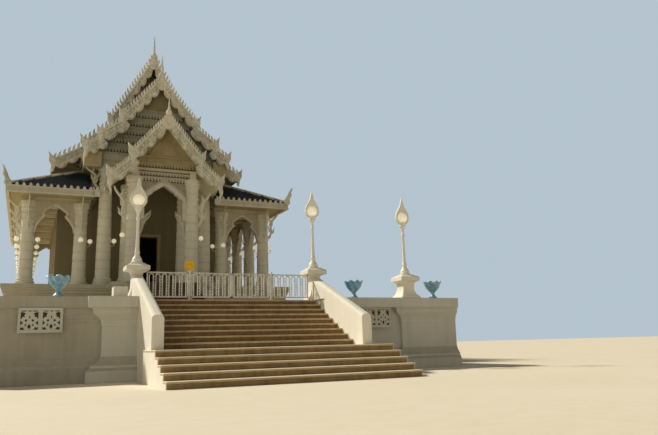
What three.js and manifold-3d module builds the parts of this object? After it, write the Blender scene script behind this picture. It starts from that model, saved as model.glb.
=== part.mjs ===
// Buddhist temple: a white ordination hall on its plinth and terrace, with a grand stair in front.
// Units are millimetres, +Z is up, and the front faces -Y. The origin is the centre of the base.
import * as THREE from 'three';
import Module from 'manifold-3d';
import { mergeVertices } from 'three/addons/utils/BufferGeometryUtils.js';

const wasm = await Module();
wasm.setup();

// Clearance kept between a piece and a neighbour that shapes it.
const gap = 0.3;
// How far pieces of one casting or one mass of masonry reach into each other where they join.
const joint = 1;

// Steps. Distances called "behind" are measured back from the foot of the stair.
const riser = 160;
const tread = 330;
const lowerRisers = 5;
const upperRisers = 9;
const landingDepth = 1620;
const stairHalfWidth = 2740;
const lowerStairHalfWidth = 3100;
const hallRisers = 10;
const hallTread = 300;
const hallStepHalfWidth = 1500;
const hallStepCheek = 280;

// Levels.
const landingLevel = lowerRisers * riser;
const terraceLevel = (lowerRisers + upperRisers) * riser;
const floorLevel = terraceLevel + hallRisers * riser;

// Depths behind the foot of the stair.
const landingBehind = (lowerRisers - 1) * tread;
const upperFlightBehind = landingBehind + landingDepth;
const stairTopBehind = upperFlightBehind + (upperRisers - 1) * tread;
const terraceFrontBehind = 4350;
const cheekFrontBehind = 2360;
const cheekRearBehind = 6270;
const railingBehind = 5850;
const porchPlinthBehind = 16640;
const porchColumnBehind = 17440;
const wingPlinthBehind = 18240;
const porticoBehind = 19390;
const wingBehind = 19840;
const cellaBehind = 22240;
const bayLength = 2400;
const bayCount = 6;
const rearWingBehind = wingBehind + bayCount * bayLength;
const hallMiddleBehind = (wingBehind + rearWingBehind) / 2;
const totalDepth = 36140;

// Half widths.
const terraceHalfWidth = 7450;
const plinthHalfWidth = 6860;
const porchPlinthHalfWidth = 2350;
const outerColumnX = 5900;
const innerColumnX = 3540;
const portalColumnX = 2480;
const porchColumnX = 1390;
const cellaHalfWidth = 4550;
const cellaWall = 350;
const porticoHalfWidth = 3100;
const porticoWall = 200;

// Galleries and their lean-to roof.
const columnTop = 7940;
const beamTop = 8160;
const ceilingTop = 8260;
const beamHalfWidth = 100;
const eaveHalfWidth = 6900;
const eaveBehind = 18440;
const fasciaBottom = 8080;
const fasciaTop = 8400;
const fasciaThick = 120;
const skirtSlope = 0.5;
const skirtThick = 90;
const cellaTop = 10400;

// Portico and porch.
const architraveBottom = 9850;
const architraveTop = 10550;
const architraveFrontBehind = 19040;
const architraveRearBehind = 19640;
const gableWall = 250;
const porchBeamBottom = 8950;
const porchBeamTop = 9400;
const porchBeamX = 150;
const tileThick = 200;

// Doorway in the front wall of the inner hall.
const doorHalfWidth = 620;
const doorHeight = 3000;

// Roof tiers, from the ridge down: inner x, its height, outer x, its height.
const porchTiers = [[0, 11800, 1650, 9850], [1600, 9600, 2600, 8720]];
const frontTiers = [[0, 14600, 1880, 12350], [1780, 12150, 2900, 11300], [2800, 11100, 3550, 10600]];
const mainTiers = [[0, 16800, 2200, 12950], [2080, 12750, 3490, 11550], [3390, 11350, 4950, 10400]];
const porchVergeBehind = 16540;
const frontVergeBehind = 18690;
const mainVergeBehind = 21240;
const porchSpireHeight = 1050;
const frontSpireHeight = 1460;
const mainSpireHeight = 1560;
const bargeThick = 120;

const plaster = new THREE.MeshStandardMaterial({ color: 0xe6dfce, roughness: 0.85, metalness: 0 });
const stepStone = new THREE.MeshStandardMaterial({ color: 0x9c7a55, roughness: 0.9, metalness: 0 });
const tile = new THREE.MeshStandardMaterial({ color: 0x232a3d, roughness: 0.45, metalness: 0 });
const railMetal = new THREE.MeshStandardMaterial({ color: 0xa9a6a0, roughness: 0.4, metalness: 0.7 });
const globeGlass = new THREE.MeshStandardMaterial({ color: 0xf2ead2, roughness: 0.3, metalness: 0 });
const glazedPot = new THREE.MeshStandardMaterial({ color: 0x5f9fb4, roughness: 0.3, metalness: 0 });
const gilt = new THREE.MeshStandardMaterial({ color: 0xc99314, roughness: 0.4, metalness: 0.6 });

const temple = new THREE.Group();

// Solids.

function at(behind) {
  return behind - totalDepth / 2;
}

function rearOf(behind) {
  return 2 * hallMiddleBehind - behind;
}

function toSolid(geometry) {
  const plain = geometry.index ? geometry.toNonIndexed() : geometry.clone();
  plain.deleteAttribute('normal');
  plain.deleteAttribute('uv');
  const merged = mergeVertices(plain, 0.001);
  return new wasm.Manifold(new wasm.Mesh({
    numProp: 3,
    vertProperties: new Float32Array(merged.attributes.position.array),
    triVerts: new Uint32Array(merged.index.array),
  }));
}

function toGeometry(solid) {
  const mesh = solid.getMesh();
  const geometry = new THREE.BufferGeometry();
  geometry.setAttribute('position', new THREE.BufferAttribute(new Float32Array(mesh.vertProperties), 3));
  geometry.setIndex(new THREE.BufferAttribute(new Uint32Array(mesh.triVerts), 1));
  return geometry;
}

function fuse(geometries) {
  const solids = geometries.map(toSolid);
  return toGeometry(solids.slice(1).reduce((whole, piece) => whole.add(piece), solids[0]));
}

function cut(geometry, tools) {
  return toGeometry(tools.map(toSolid).reduce((whole, tool) => whole.subtract(tool), toSolid(geometry)));
}

function common(first, second) {
  return toGeometry(toSolid(first).intersect(toSolid(second)));
}

function block(x0, x1, behind0, behind1, z0, z1) {
  const geometry = new THREE.BoxGeometry(x1 - x0, behind1 - behind0, z1 - z0);
  return geometry.translate((x0 + x1) / 2, at((behind0 + behind1) / 2), (z0 + z1) / 2);
}

function outline(points) {
  return new THREE.Shape(points.map(([u, v]) => new THREE.Vector2(u, v)));
}

// An outline of [behind, z] points, run from x0 to x1.
function alongX(points, x0, x1) {
  const geometry = new THREE.ExtrudeGeometry(outline(points), { depth: x1 - x0, bevelEnabled: false });
  const basis = new THREE.Matrix4().makeBasis(
    new THREE.Vector3(0, 1, 0), new THREE.Vector3(0, 0, 1), new THREE.Vector3(1, 0, 0));
  return geometry.applyMatrix4(basis).translate(x0, at(0), 0);
}

// An outline of [x, z] points, run from one depth to another.
function alongY(points, behind0, behind1) {
  const settings = { depth: behind1 - behind0, bevelEnabled: false };
  const geometry = new THREE.ExtrudeGeometry(outline(points), settings);
  return geometry.rotateX(Math.PI / 2).translate(0, at(behind1), 0);
}

// An outline of [x, behind] points, run upward.
function upward(points, z0, z1) {
  const settings = { depth: z1 - z0, bevelEnabled: false };
  return new THREE.ExtrudeGeometry(outline(points), settings).translate(0, at(0), z0);
}

// A profile of [radius, z] points, turned about a vertical axis.
function turned(profile, x, behind, sides) {
  const points = profile.map(([radius, z]) => new THREE.Vector2(radius, z));
  return new THREE.LatheGeometry(points, sides).rotateX(Math.PI / 2).translate(x, at(behind), 0);
}

// The same piece on the other side of the middle, with its faces turned to point out again.
function mirrored(geometry) {
  const flipped = (geometry.index ? geometry.toNonIndexed() : geometry.clone()).scale(-1, 1, 1);
  const { array } = flipped.attributes.position;
  for (let corner = 0; corner < array.length; corner += 9) {
    for (let i = corner + 3; i < corner + 6; i += 1) {
      [array[i], array[i + 3]] = [array[i + 3], array[i]];
    }
  }
  return flipped;
}

// The same piece at the other end of the hall.
function turnedAround(geometry) {
  return geometry.clone().translate(0, -at(hallMiddleBehind), 0).rotateZ(Math.PI)
    .translate(0, at(hallMiddleBehind), 0);
}

function add(name, geometry, material) {
  const mesh = new THREE.Mesh(geometry, material);
  mesh.name = name;
  temple.add(mesh);
}

// Terrace: a masonry core, and moulded front walls on each side of the stair.

const terraceCoreFront = terraceFrontBehind + 500;
const leftBlockOuterX = 4300;
const rightBlockInnerX = 4950;
const wallSetBack = 250;
const moulding = 60;
const waistDepth = 120;
const cheekThick = 240;
const cheekOuterX = stairHalfWidth + cheekThick;

add('terrace_core', cut(
  block(-terraceHalfWidth, terraceHalfWidth, terraceCoreFront, totalDepth, 0, terraceLevel),
  [block(-stairHalfWidth, stairHalfWidth, terraceCoreFront - 10, stairTopBehind, -10, terraceLevel + 10)],
), plaster);

// The front wall's section: base, dado with a hollow waist where it stands forward, and coping slab.
function terraceWall(x0, x1, face, waist) {
  const section = [
    [terraceCoreFront, 0], [face - moulding, 0], [face - moulding, 420], [face, 480], [face, 700],
    [face + waist, 1000], [face + waist, 1500], [face, 1800], [face, 1980], [face - moulding, 2020],
    [face - moulding, terraceLevel], [terraceCoreFront, terraceLevel],
  ];
  return alongX(section, x0, x1);
}

const wallFace = terraceFrontBehind + wallSetBack;
add('terrace_front_left', fuse([
  terraceWall(-terraceHalfWidth, joint - leftBlockOuterX, wallFace, joint),
  terraceWall(-leftBlockOuterX, -cheekOuterX, terraceFrontBehind + moulding, waistDepth),
]), plaster);
add('terrace_front_right', fuse([
  terraceWall(cheekOuterX, rightBlockInnerX + joint, wallFace, joint),
  terraceWall(rightBlockInnerX, terraceHalfWidth, terraceFrontBehind + moulding, waistDepth),
]), plaster);

// Vent panels: two square grilles side by side in a raised frame.
const leftVentX = -5420;
const rightVentX = 4400;
const ventHalfWidth = 530;
const ventBottom = 1310;
const ventTop = 1940;
const ventFrame = 60;
const ventProud = 40;

function ventPanel(middleX) {
  const face = wallFace - ventProud;
  const pane = (x0, x1) => block(
    x0, x1, face - 5, face + ventProud / 2, ventBottom + ventFrame, ventTop - ventFrame);
  return cut(
    block(middleX - ventHalfWidth, middleX + ventHalfWidth, face, wallFace, ventBottom, ventTop),
    [
      pane(middleX - ventHalfWidth + ventFrame, middleX - ventFrame / 2),
      pane(middleX + ventFrame / 2, middleX + ventHalfWidth - ventFrame),
    ],
  );
}

add('vent_panel_left', ventPanel(leftVentX), plaster);
add('vent_panel_right', ventPanel(rightVentX), plaster);

// Stair: the lower flight with its landing, and the upper flight.

function stepped(behind0, z0, count, depth, rearBehind, base) {
  const points = [[rearBehind, base], [behind0, base]];
  for (let i = 0; i < count; i += 1) {
    points.push([behind0 + i * depth, z0 + (i + 1) * riser]);
    if (i < count - 1) {
      points.push([behind0 + (i + 1) * depth, z0 + (i + 1) * riser]);
    }
  }
  points.push([rearBehind, z0 + count * riser]);
  return points;
}

add('lower_stair', alongX(
  stepped(0, 0, lowerRisers, tread, upperFlightBehind, 0), -lowerStairHalfWidth, lowerStairHalfWidth,
), stepStone);
add('upper_stair', alongX(
  stepped(upperFlightBehind, landingLevel, upperRisers - 1, tread, stairTopBehind, 0),
  -stairHalfWidth, stairHalfWidth,
), stepStone);

// Cheek walls: sloping tops, and a newel pier with a cap at the head.

const cheekFrontTop = 1640;
const cheekRearTop = 3040;
const newelCapBottom = 3110;
const newelCapTop = 3330;
const newelHalf = 270;
const newelCapHalf = 340;
const newelX = stairHalfWidth + cheekThick / 2;
const newelBehind = cheekRearBehind - newelHalf;

function cheekWall() {
  const wall = alongX([
    [cheekRearBehind, terraceLevel], [cheekRearBehind, cheekRearTop],
    [newelBehind - newelHalf, cheekRearTop], [cheekFrontBehind, cheekFrontTop],
    [cheekFrontBehind, landingLevel], [upperFlightBehind, landingLevel], [upperFlightBehind, 0],
    [terraceCoreFront, 0], [terraceCoreFront, terraceLevel],
  ], stairHalfWidth, cheekOuterX);
  const pier = block(
    newelX - newelHalf, newelX + newelHalf, newelBehind - newelHalf, newelBehind + newelHalf,
    terraceLevel, newelCapBottom + joint);
  const cap = block(
    newelX - newelCapHalf, newelX + newelCapHalf, newelBehind - newelCapHalf,
    newelBehind + newelCapHalf, newelCapBottom, newelCapTop);
  return fuse([wall, pier, cap]);
}

add('right_cheek_wall', cheekWall(), plaster);
add('left_cheek_wall', mirrored(cheekWall()), plaster);

// Lamps: a turned post, a pointed ring around the globe, and the globe on its cup.

const lampHeight = 2620;
const globeRadius = 150;
const globeRise = 1940;
const ringHalfWidth = 260;
const ringThick = 40;
const ringBar = 45;
const pedestalX = 5650;
const pedestalBehind = 4750;
const pedestalHalf = 290;
const roundSides = 12;

function lampRing(x, behind, baseLevel, inset) {
  const bottom = baseLevel + globeRise - 430 + inset;
  const top = baseLevel + lampHeight - inset * 2;
  const middle = baseLevel + globeRise;
  const wide = ringHalfWidth - inset;
  const extra = inset > 0 ? 10 : 0;
  return alongY([
    [x - wide / 2, bottom + 30], [x, bottom], [x + wide / 2, bottom + 30], [x + wide, middle - 150],
    [x + wide, middle + 90], [x + wide / 2, middle + 300], [x, top], [x - wide / 2, middle + 300],
    [x - wide, middle + 90], [x - wide, middle - 150],
  ], behind - ringThick / 2 - extra, behind + ringThick / 2 + extra);
}

function lampPost(x, behind, baseLevel) {
  const cup = baseLevel + globeRise - globeRadius;
  const post = turned([
    [0, baseLevel], [150, baseLevel], [150, baseLevel + 60], [80, baseLevel + 160],
    [60, baseLevel + 260], [45, cup - 160], [95, cup - 20], [95, cup - gap], [0, cup - gap],
  ], x, behind, roundSides);
  const ring = cut(lampRing(x, behind, baseLevel, 0), [lampRing(x, behind, baseLevel, ringBar)]);
  return fuse([post, ring]);
}

function globe(x, behind, baseLevel) {
  const points = [];
  for (let i = 0; i <= 6; i += 1) {
    const angle = -Math.PI / 2 + (Math.PI * i) / 6;
    const radius = i === 0 || i === 6 ? 0 : globeRadius * Math.cos(angle);
    points.push([radius, baseLevel + globeRise + globeRadius * Math.sin(angle)]);
  }
  return turned(points, x, behind, roundSides);
}

const pedestalTop = terraceLevel + 790;
const pedestalCap = 200;
const squareBlock = (half, z0, z1) => block(
  pedestalX - half, pedestalX + half, pedestalBehind - half, pedestalBehind + half, z0, z1);
add('lamp_pedestal', fuse([
  squareBlock(pedestalHalf, terraceLevel, pedestalTop - pedestalCap + joint),
  squareBlock(pedestalHalf + moulding, pedestalTop - pedestalCap, pedestalTop),
]), plaster);

const lamps = [
  ['left', -newelX, newelBehind, newelCapTop],
  ['right', newelX, newelBehind, newelCapTop],
  ['terrace', pedestalX, pedestalBehind, pedestalTop],
];
lamps.forEach(([place, x, behind, level]) => {
  add(`${place}_lamp_post`, lampPost(x, behind, level), plaster);
  add(`${place}_lamp_globe`, globe(x, behind, level), globeGlass);
});

// Footed pots along the terrace's edge, filled with soil to just under the rim.

const potSetBack = 230;
const potHeight = 560;

function pot(x, edgeBehind) {
  const z = terraceLevel;
  return turned([
    [0, z], [170, z], [170, z + 50], [70, z + 120], [140, z + 210], [260, z + 370],
    [310, z + potHeight], [275, z + potHeight], [265, z + potHeight - 60], [0, z + potHeight - 60],
  ], x, edgeBehind + potSetBack, roundSides);
}

add('left_pot', pot(-5030, wallFace - moulding), glazedPot);
add('middle_pot', pot(3720, wallFace - moulding), glazedPot);
add('right_pot', pot(6600, terraceFrontBehind), glazedPot);

// Railing across the stair's head: two fixed panels with gate posts, and two gate leaves.

const railHeight = 840;
const railThick = 40;
const railLift = 80;
const railEdge = 45;
const gatePostX = 1315;
const gatePostHalf = 30;
const gatePostTop = terraceLevel + 900;
const leafAxisX = 1240;
const leafStileHalf = 25;
const leafMiddleGap = 6;
const pivotRadius = 15;
const barPitch = 108;
const barWidth = 32;

function railFrame(x0, x1) {
  const z0 = terraceLevel + railLift;
  const z1 = terraceLevel + railHeight;
  const count = Math.round((x1 - x0 - 2 * railEdge) / barPitch);
  const pitch = (x1 - x0 - 2 * railEdge + barWidth) / count;
  const half = (pitch - barWidth) / 2;
  const tools = [];
  for (let i = 0; i < count; i += 1) {
    const middle = x0 + railEdge + half + i * pitch;
    tools.push(alongY([
      [middle - half, z0 + railEdge], [middle + half, z0 + railEdge],
      [middle + half, z1 - railEdge - half], [middle + half * 0.7, z1 - railEdge - half * 0.3],
      [middle, z1 - railEdge], [middle - half * 0.7, z1 - railEdge - half * 0.3],
      [middle - half, z1 - railEdge - half],
    ], railingBehind - railThick, railingBehind + railThick));
  }
  const panel = block(
    x0, x1, railingBehind - railThick / 2, railingBehind + railThick / 2, z0, z1);
  return cut(panel, tools);
}

function fixedPanel() {
  return fuse([
    railFrame(gatePostX + gatePostHalf - joint, newelX - newelHalf),
    block(gatePostX - gatePostHalf, gatePostX + gatePostHalf, railingBehind - gatePostHalf,
      railingBehind + gatePostHalf, terraceLevel, gatePostTop),
  ]);
}

function gateLeaf() {
  return fuse([
    railFrame(leafMiddleGap, leafAxisX + leafStileHalf),
    turned([
      [0, terraceLevel + gap], [pivotRadius, terraceLevel + gap],
      [pivotRadius, terraceLevel + railLift + 10], [0, terraceLevel + railLift + 10],
    ], leafAxisX, railingBehind, roundSides),
  ]);
}

add('right_railing', fixedPanel(), railMetal);
add('left_railing', mirrored(fixedPanel()), railMetal);
add('right_gate_leaf', gateLeaf(), railMetal);
add('left_gate_leaf', mirrored(gateLeaf()), railMetal);

const discRadius = 160;
const discThick = 40;
add('gate_disc', new THREE.CylinderGeometry(discRadius, discRadius, discThick, 20)
  .translate(-gatePostX, at(railingBehind), gatePostTop + discRadius), gilt);

// Plinth of the hall, with a forward part under the porch, and the steps up to it.

function plinthPlan(inset) {
  const wide = plinthHalfWidth - inset;
  const narrow = porchPlinthHalfWidth - inset;
  const wings = wingPlinthBehind + inset;
  return [
    [-narrow, porchPlinthBehind + inset], [narrow, porchPlinthBehind + inset], [narrow, wings],
    [wide, wings], [wide, rearOf(wingPlinthBehind) - inset], [-wide, rearOf(wingPlinthBehind) - inset],
    [-wide, wings], [-narrow, wings],
  ];
}

add('hall_plinth', fuse([
  upward(plinthPlan(0), terraceLevel, terraceLevel + 320),
  upward(plinthPlan(160), terraceLevel + 319, floorLevel - 319),
  upward(plinthPlan(60), floorLevel - 320, floorLevel - 139),
  upward(plinthPlan(0), floorLevel - 140, floorLevel),
]), plaster);

const hallStepFoot = porchPlinthBehind - (hallRisers - 1) * hallTread;
function hallStepSide(x0, x1) {
  return alongX([
    [porchPlinthBehind, terraceLevel], [porchPlinthBehind, floorLevel],
    [porchPlinthBehind - 300, floorLevel], [hallStepFoot - 200, terraceLevel + 260],
    [hallStepFoot - 200, terraceLevel],
  ], x0, x1);
}
add('hall_steps', fuse([
  alongX(
    stepped(hallStepFoot, terraceLevel, hallRisers - 1, hallTread, porchPlinthBehind, terraceLevel),
    -hallStepHalfWidth - joint, hallStepHalfWidth + joint,
  ),
  hallStepSide(hallStepHalfWidth, hallStepHalfWidth + hallStepCheek),
  hallStepSide(-hallStepHalfWidth - hallStepCheek, -hallStepHalfWidth),
]), plaster);

// Columns with a spreading base and capital.

const columnSides = 10;

function column(x, behind, top, lowRadius, highRadius, grown = 0) {
  const z = floorLevel;
  const spread = 1.3;
  return turned([
    [0, z], [lowRadius * spread + grown, z], [lowRadius * spread + grown, z + 150],
    [lowRadius + grown, z + 320], [highRadius + grown, top - 420],
    [highRadius * spread + grown, top - 160], [highRadius * spread + grown, top + grown],
    [0, top + grown],
  ], x, behind, columnSides);
}

// The opening of an arch with pointed cusps, as [x, z] points.
function archOpening(middle, half, bottom, spring, peak) {
  const rise = peak - spring;
  const right = [
    [1, 0], [0.95, 0.22], [0.8, 0.44], [0.62, 0.56], [0.58, 0.66], [0.34, 0.78], [0.16, 0.86],
  ];
  const side = (sign) => right.map(([u, v]) => [middle + sign * u * half, spring + v * rise]);
  return [
    [middle - half, bottom], [middle + half, bottom], ...side(1), [middle, peak],
    ...side(-1).reverse(),
  ];
}

const archSpring = 6560;
const archPeak = 7680;
const archBottom = 6420;
const archWallHalf = 80;
const archHalfWidth = 830;
const wingLowRadius = 330;
const wingHighRadius = 290;

// Wing arcades at the front, one on each side of the portico.
function wingArcade() {
  const middle = (innerColumnX + outerColumnX) / 2;
  return fuse([
    column(innerColumnX, wingBehind, columnTop + joint, wingLowRadius, wingHighRadius),
    column(outerColumnX, wingBehind, columnTop + joint, wingLowRadius, wingHighRadius),
    cut(
      block(innerColumnX, outerColumnX, wingBehind - archWallHalf, wingBehind + archWallHalf,
        archBottom, columnTop + joint),
      [alongY(archOpening(middle, archHalfWidth, archBottom - 10, archSpring, archPeak),
        wingBehind - 200, wingBehind + 200)],
    ),
    block(porticoHalfWidth + 40, outerColumnX + 280, wingBehind - beamHalfWidth,
      wingBehind + beamHalfWidth, columnTop, beamTop),
  ]);
}

add('right_wing_arcade', wingArcade(), plaster);
add('left_wing_arcade', mirrored(wingArcade()), plaster);

// Side arcades: the columns between the corners, their arches and the beam.
function sideArcade() {
  const pieces = [
    block(outerColumnX - beamHalfWidth, outerColumnX + beamHalfWidth, wingBehind + beamHalfWidth,
      rearWingBehind - beamHalfWidth, columnTop + joint, beamTop),
  ];
  const openings = [];
  for (let bay = 0; bay < bayCount; bay += 1) {
    const middle = wingBehind + (bay + 0.5) * bayLength;
    const opening = archOpening(middle, archHalfWidth, archBottom - 10, archSpring, archPeak);
    openings.push(alongX(opening, outerColumnX - 200, outerColumnX + 200));
    if (bay > 0) {
      pieces.push(column(
        outerColumnX, wingBehind + bay * bayLength, columnTop + 2 * joint, wingLowRadius, wingHighRadius));
    }
  }
  const clear = wingHighRadius * 1.3 + 10;
  pieces.push(cut(
    block(outerColumnX - archWallHalf, outerColumnX + archWallHalf, wingBehind + clear,
      rearWingBehind - clear, archBottom, columnTop + 2 * joint),
    openings,
  ));
  return fuse(pieces);
}

add('right_side_arcade', sideArcade(), plaster);
add('left_side_arcade', mirrored(sideArcade()), plaster);

// Rear arcade: six columns in a row with five arches.
function rearArcade() {
  const places = [-outerColumnX, -innerColumnX, -innerColumnX / 3, innerColumnX / 3, innerColumnX,
    outerColumnX];
  const openings = places.slice(1).map((x, i) => alongY(
    archOpening((x + places[i]) / 2, archHalfWidth, archBottom - 10, archSpring, archPeak),
    rearWingBehind - 200, rearWingBehind + 200));
  return fuse([
    ...places.map((x) => column(x, rearWingBehind, columnTop + joint, wingLowRadius, wingHighRadius)),
    cut(block(-outerColumnX, outerColumnX, rearWingBehind - archWallHalf,
      rearWingBehind + archWallHalf, archBottom, columnTop + joint), openings),
    block(-outerColumnX - 280, outerColumnX + 280, rearWingBehind - beamHalfWidth,
      rearWingBehind + beamHalfWidth, columnTop, beamTop),
  ]);
}

add('rear_arcade', rearArcade(), plaster);

// Inner hall: four walls, with the doorway in the front one, and its ceiling.

const cellaRearBehind = rearOf(cellaBehind);
add('hall_front_wall', cut(
  block(-cellaHalfWidth, cellaHalfWidth, cellaBehind, cellaBehind + cellaWall, floorLevel, cellaTop),
  [block(-doorHalfWidth, doorHalfWidth, cellaBehind - 10, cellaBehind + cellaWall + 10,
    floorLevel - 10, floorLevel + doorHeight)],
), plaster);
add('hall_rear_wall', block(
  -cellaHalfWidth, cellaHalfWidth, cellaRearBehind - cellaWall, cellaRearBehind, floorLevel, cellaTop,
), plaster);
const cellaSideWall = () => block(
  cellaHalfWidth - cellaWall, cellaHalfWidth, cellaBehind + cellaWall, cellaRearBehind - cellaWall,
  floorLevel, cellaTop);
add('hall_right_wall', cellaSideWall(), plaster);
add('hall_left_wall', mirrored(cellaSideWall()), plaster);
const cellaCeilingBottom = 9300;
add('hall_ceiling', block(
  cellaWall - cellaHalfWidth, cellaHalfWidth - cellaWall, cellaBehind + cellaWall,
  cellaRearBehind - cellaWall, cellaCeilingBottom, cellaCeilingBottom + 120,
), plaster);

// Portico behind the porch: two tall columns, architrave, side walls above the galleries, ceiling.

const porticoCeilingBottom = 10430;
const portalLowRadius = 360;
const portalHighRadius = 300;

function porticoBox(front, rear, base) {
  const inner = porticoHalfWidth - porticoWall;
  return [
    block(-porticoHalfWidth, -inner, front - joint, rear, base, architraveTop),
    block(inner, porticoHalfWidth, front - joint, rear, base, architraveTop),
    block(-inner - joint, inner + joint, front - joint, rear, porticoCeilingBottom, architraveTop),
  ];
}

add('portico', fuse([
  block(-porticoHalfWidth, porticoHalfWidth, architraveFrontBehind, architraveRearBehind,
    architraveBottom, architraveTop),
  column(-portalColumnX, porticoBehind, architraveBottom + joint, portalLowRadius, portalHighRadius),
  column(portalColumnX, porticoBehind, architraveBottom + joint, portalLowRadius, portalHighRadius),
  ...porticoBox(architraveRearBehind, cellaBehind, beamTop),
]), plaster);

// At the rear the same gable stands on a low box above the gallery.
const rearGableBehind = rearOf(architraveFrontBehind);
add('rear_gable_base', fuse([
  block(-porticoHalfWidth, porticoHalfWidth, rearGableBehind - gableWall, rearGableBehind,
    ceilingTop, architraveTop),
  ...porticoBox(cellaRearBehind + joint, rearGableBehind - gableWall + joint, ceilingTop),
]), plaster);

// Porch: two pairs of columns under side beams, and the front arch between them.

const porchLowRadius = 350;
const porchHighRadius = 300;
const porchArchHalf = 75;
const porchArchBottom = 6900;
const porchArchPeak = 8570;
const porchArchWidth = 1880;

function porchColumns() {
  return fuse([
    column(porchColumnX, porchColumnBehind, porchBeamBottom + joint, porchLowRadius, porchHighRadius),
    column(porchColumnX, porticoBehind, porchBeamBottom + joint, porchLowRadius, porchHighRadius),
    block(porchColumnX - porchBeamX, porchColumnX + porchBeamX, porchColumnBehind - 240,
      porticoBehind + 200, porchBeamBottom, porchBeamTop),
  ]);
}

add('right_porch_columns', porchColumns(), plaster);
add('left_porch_columns', mirrored(porchColumns()), plaster);

const porchArchInner = porchColumnX - porchBeamX;
const porchColumnTool = () => column(
  porchColumnX, porchColumnBehind, porchBeamBottom + joint, porchLowRadius, porchHighRadius, gap);
add('porch_arch', cut(
  block(-porchArchInner, porchArchInner, porchColumnBehind - porchArchHalf,
    porchColumnBehind + porchArchHalf, porchArchBottom, porchBeamTop),
  [
    alongY(archOpening(0, porchArchWidth / 2, porchArchBottom - 10, porchArchBottom + 100, porchArchPeak),
      porchColumnBehind - 200, porchColumnBehind + 200),
    porchColumnTool(),
    mirrored(porchColumnTool()),
  ],
), plaster);

// Gallery ceiling and the lean-to roof above it, hipped at the corners.

const porticoClear = (base, top) => block(
  -porticoHalfWidth, porticoHalfWidth, eaveBehind - 500, cellaBehind + joint, base, top);
const cellaClear = (base, top) => block(
  -cellaHalfWidth, cellaHalfWidth, cellaBehind, cellaRearBehind, base, top);
const rearGableClear = (base, top) => block(
  -porticoHalfWidth, porticoHalfWidth, cellaRearBehind - joint, rearGableBehind, base, top);

add('gallery_ceiling', cut(
  block(fasciaThick - eaveHalfWidth, eaveHalfWidth - fasciaThick, eaveBehind + fasciaThick,
    rearOf(eaveBehind) - fasciaThick, beamTop, ceilingTop),
  [porticoClear(beamTop - 50, ceilingTop + 50), cellaClear(beamTop - 50, ceilingTop + 50)],
), plaster);

// Both slopes of a lean-to, from its eave up to where they would meet.
function hipped(inset, base, drop) {
  const eaveX = eaveHalfWidth - inset;
  const front = eaveBehind + inset;
  const rear = rearOf(front);
  const edge = fasciaTop + inset * skirtSlope - drop;
  const across = alongY([
    [-eaveX, base], [eaveX, base], [eaveX, edge], [0, edge + eaveX * skirtSlope], [-eaveX, edge],
  ], front, rear);
  const half = (rear - front) / 2;
  const along = alongX([
    [front, base], [rear, base], [rear, edge], [front + half, edge + half * skirtSlope],
    [front, edge],
  ], -eaveX, eaveX);
  return common(across, along);
}

add('gallery_roof', cut(hipped(0, fasciaBottom, 0), [
  hipped(fasciaThick, fasciaBottom - 50, skirtThick),
  porticoClear(fasciaBottom - 100, 15000),
  cellaClear(fasciaBottom - 100, 15000),
  rearGableClear(fasciaBottom - 100, 15000),
]), tile);

// Gable roofs in steps: each tier springs from a short board under the tier above it.

const riserBoard = 60;

function tierHeight([x0, z0, x1, z1], x) {
  return z0 + ((z1 - z0) * (x - x0)) / (x1 - x0);
}

function upperSide(tiers) {
  return tiers.flatMap((tier, i) => {
    const [x0, z0, x1, z1] = tier;
    const foot = i === 0 ? [] : [[x0, tierHeight(tiers[i - 1], x0) - tileThick]];
    return [...foot, [x0, z0], [x1, z1], [x1, z1 - tileThick]];
  });
}

function lowerSide(tiers, clear = 0) {
  return tiers.flatMap((tier, i) => {
    const x = i === 0 ? 0 : tier[0] - riserBoard - clear;
    const top = i === 0 ? [] : [[x, tierHeight(tiers[i - 1], x) - tileThick - clear]];
    return [...top, [x, tierHeight(tier, x) - tileThick - clear]];
  });
}

function otherSide(points) {
  return points.map(([x, z]) => [-x, z]).reverse();
}

function gableRoof(tiers, behind0, behind1) {
  const upper = upperSide(tiers);
  const lower = lowerSide(tiers);
  const halfLoop = [...upper, ...lower.slice(1).reverse()];
  return alongY([...halfLoop, lower[0], ...otherSide(halfLoop.slice(1))], behind0, behind1);
}

// Gable wall, filled up to the underside of its roof.
function tympanum(tiers, half, base, behind0, behind1) {
  const last = tiers[tiers.length - 1];
  const under = [...lowerSide(tiers, gap), [last[2], last[3] - tileThick - gap]];
  const depth = base - 2000;
  const inside = alongY([
    ...under, [last[2], depth], [-last[2], depth], ...otherSide(under.slice(1)),
  ], behind0 - 50, behind1 + 50);
  return common(block(-half, half, behind0, behind1, base, tiers[0][1]), inside);
}

// Bargeboards along the verge, upturned at the foot of each tier, with a spire at the ridge.
const bargeUp = 110;
const bargeDown = 300;
const bargeTipOut = 210;
const bargeTipUp = 500;
const spireHalf = 90;

function bargeboards(tiers, verge, spireHeight) {
  const behind0 = verge - bargeThick;
  const boards = tiers.map(([x0, z0, x1, z1], i) => {
    const start = i === 0 ? -spireHalf / 2 : x0;
    return alongY([
      [start, z0 - bargeDown], [x1, z1 - bargeDown], [x1 + bargeTipOut * 0.8, z1],
      [x1 + bargeTipOut, z1 + bargeTipUp], [x1 + bargeTipOut / 3, z1 + bargeUp * 1.4],
      [start, z0 + bargeUp],
    ], behind0, verge);
  });
  const ridge = tiers[0][1];
  const spire = alongY([
    [-spireHalf, ridge - 100], [spireHalf, ridge - 100], [spireHalf * 0.6, ridge + spireHeight / 2],
    [0, ridge + spireHeight], [-spireHalf * 0.6, ridge + spireHeight / 2],
  ], behind0, verge);
  return fuse([...boards, ...boards.map(mirrored), spire]);
}

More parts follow.
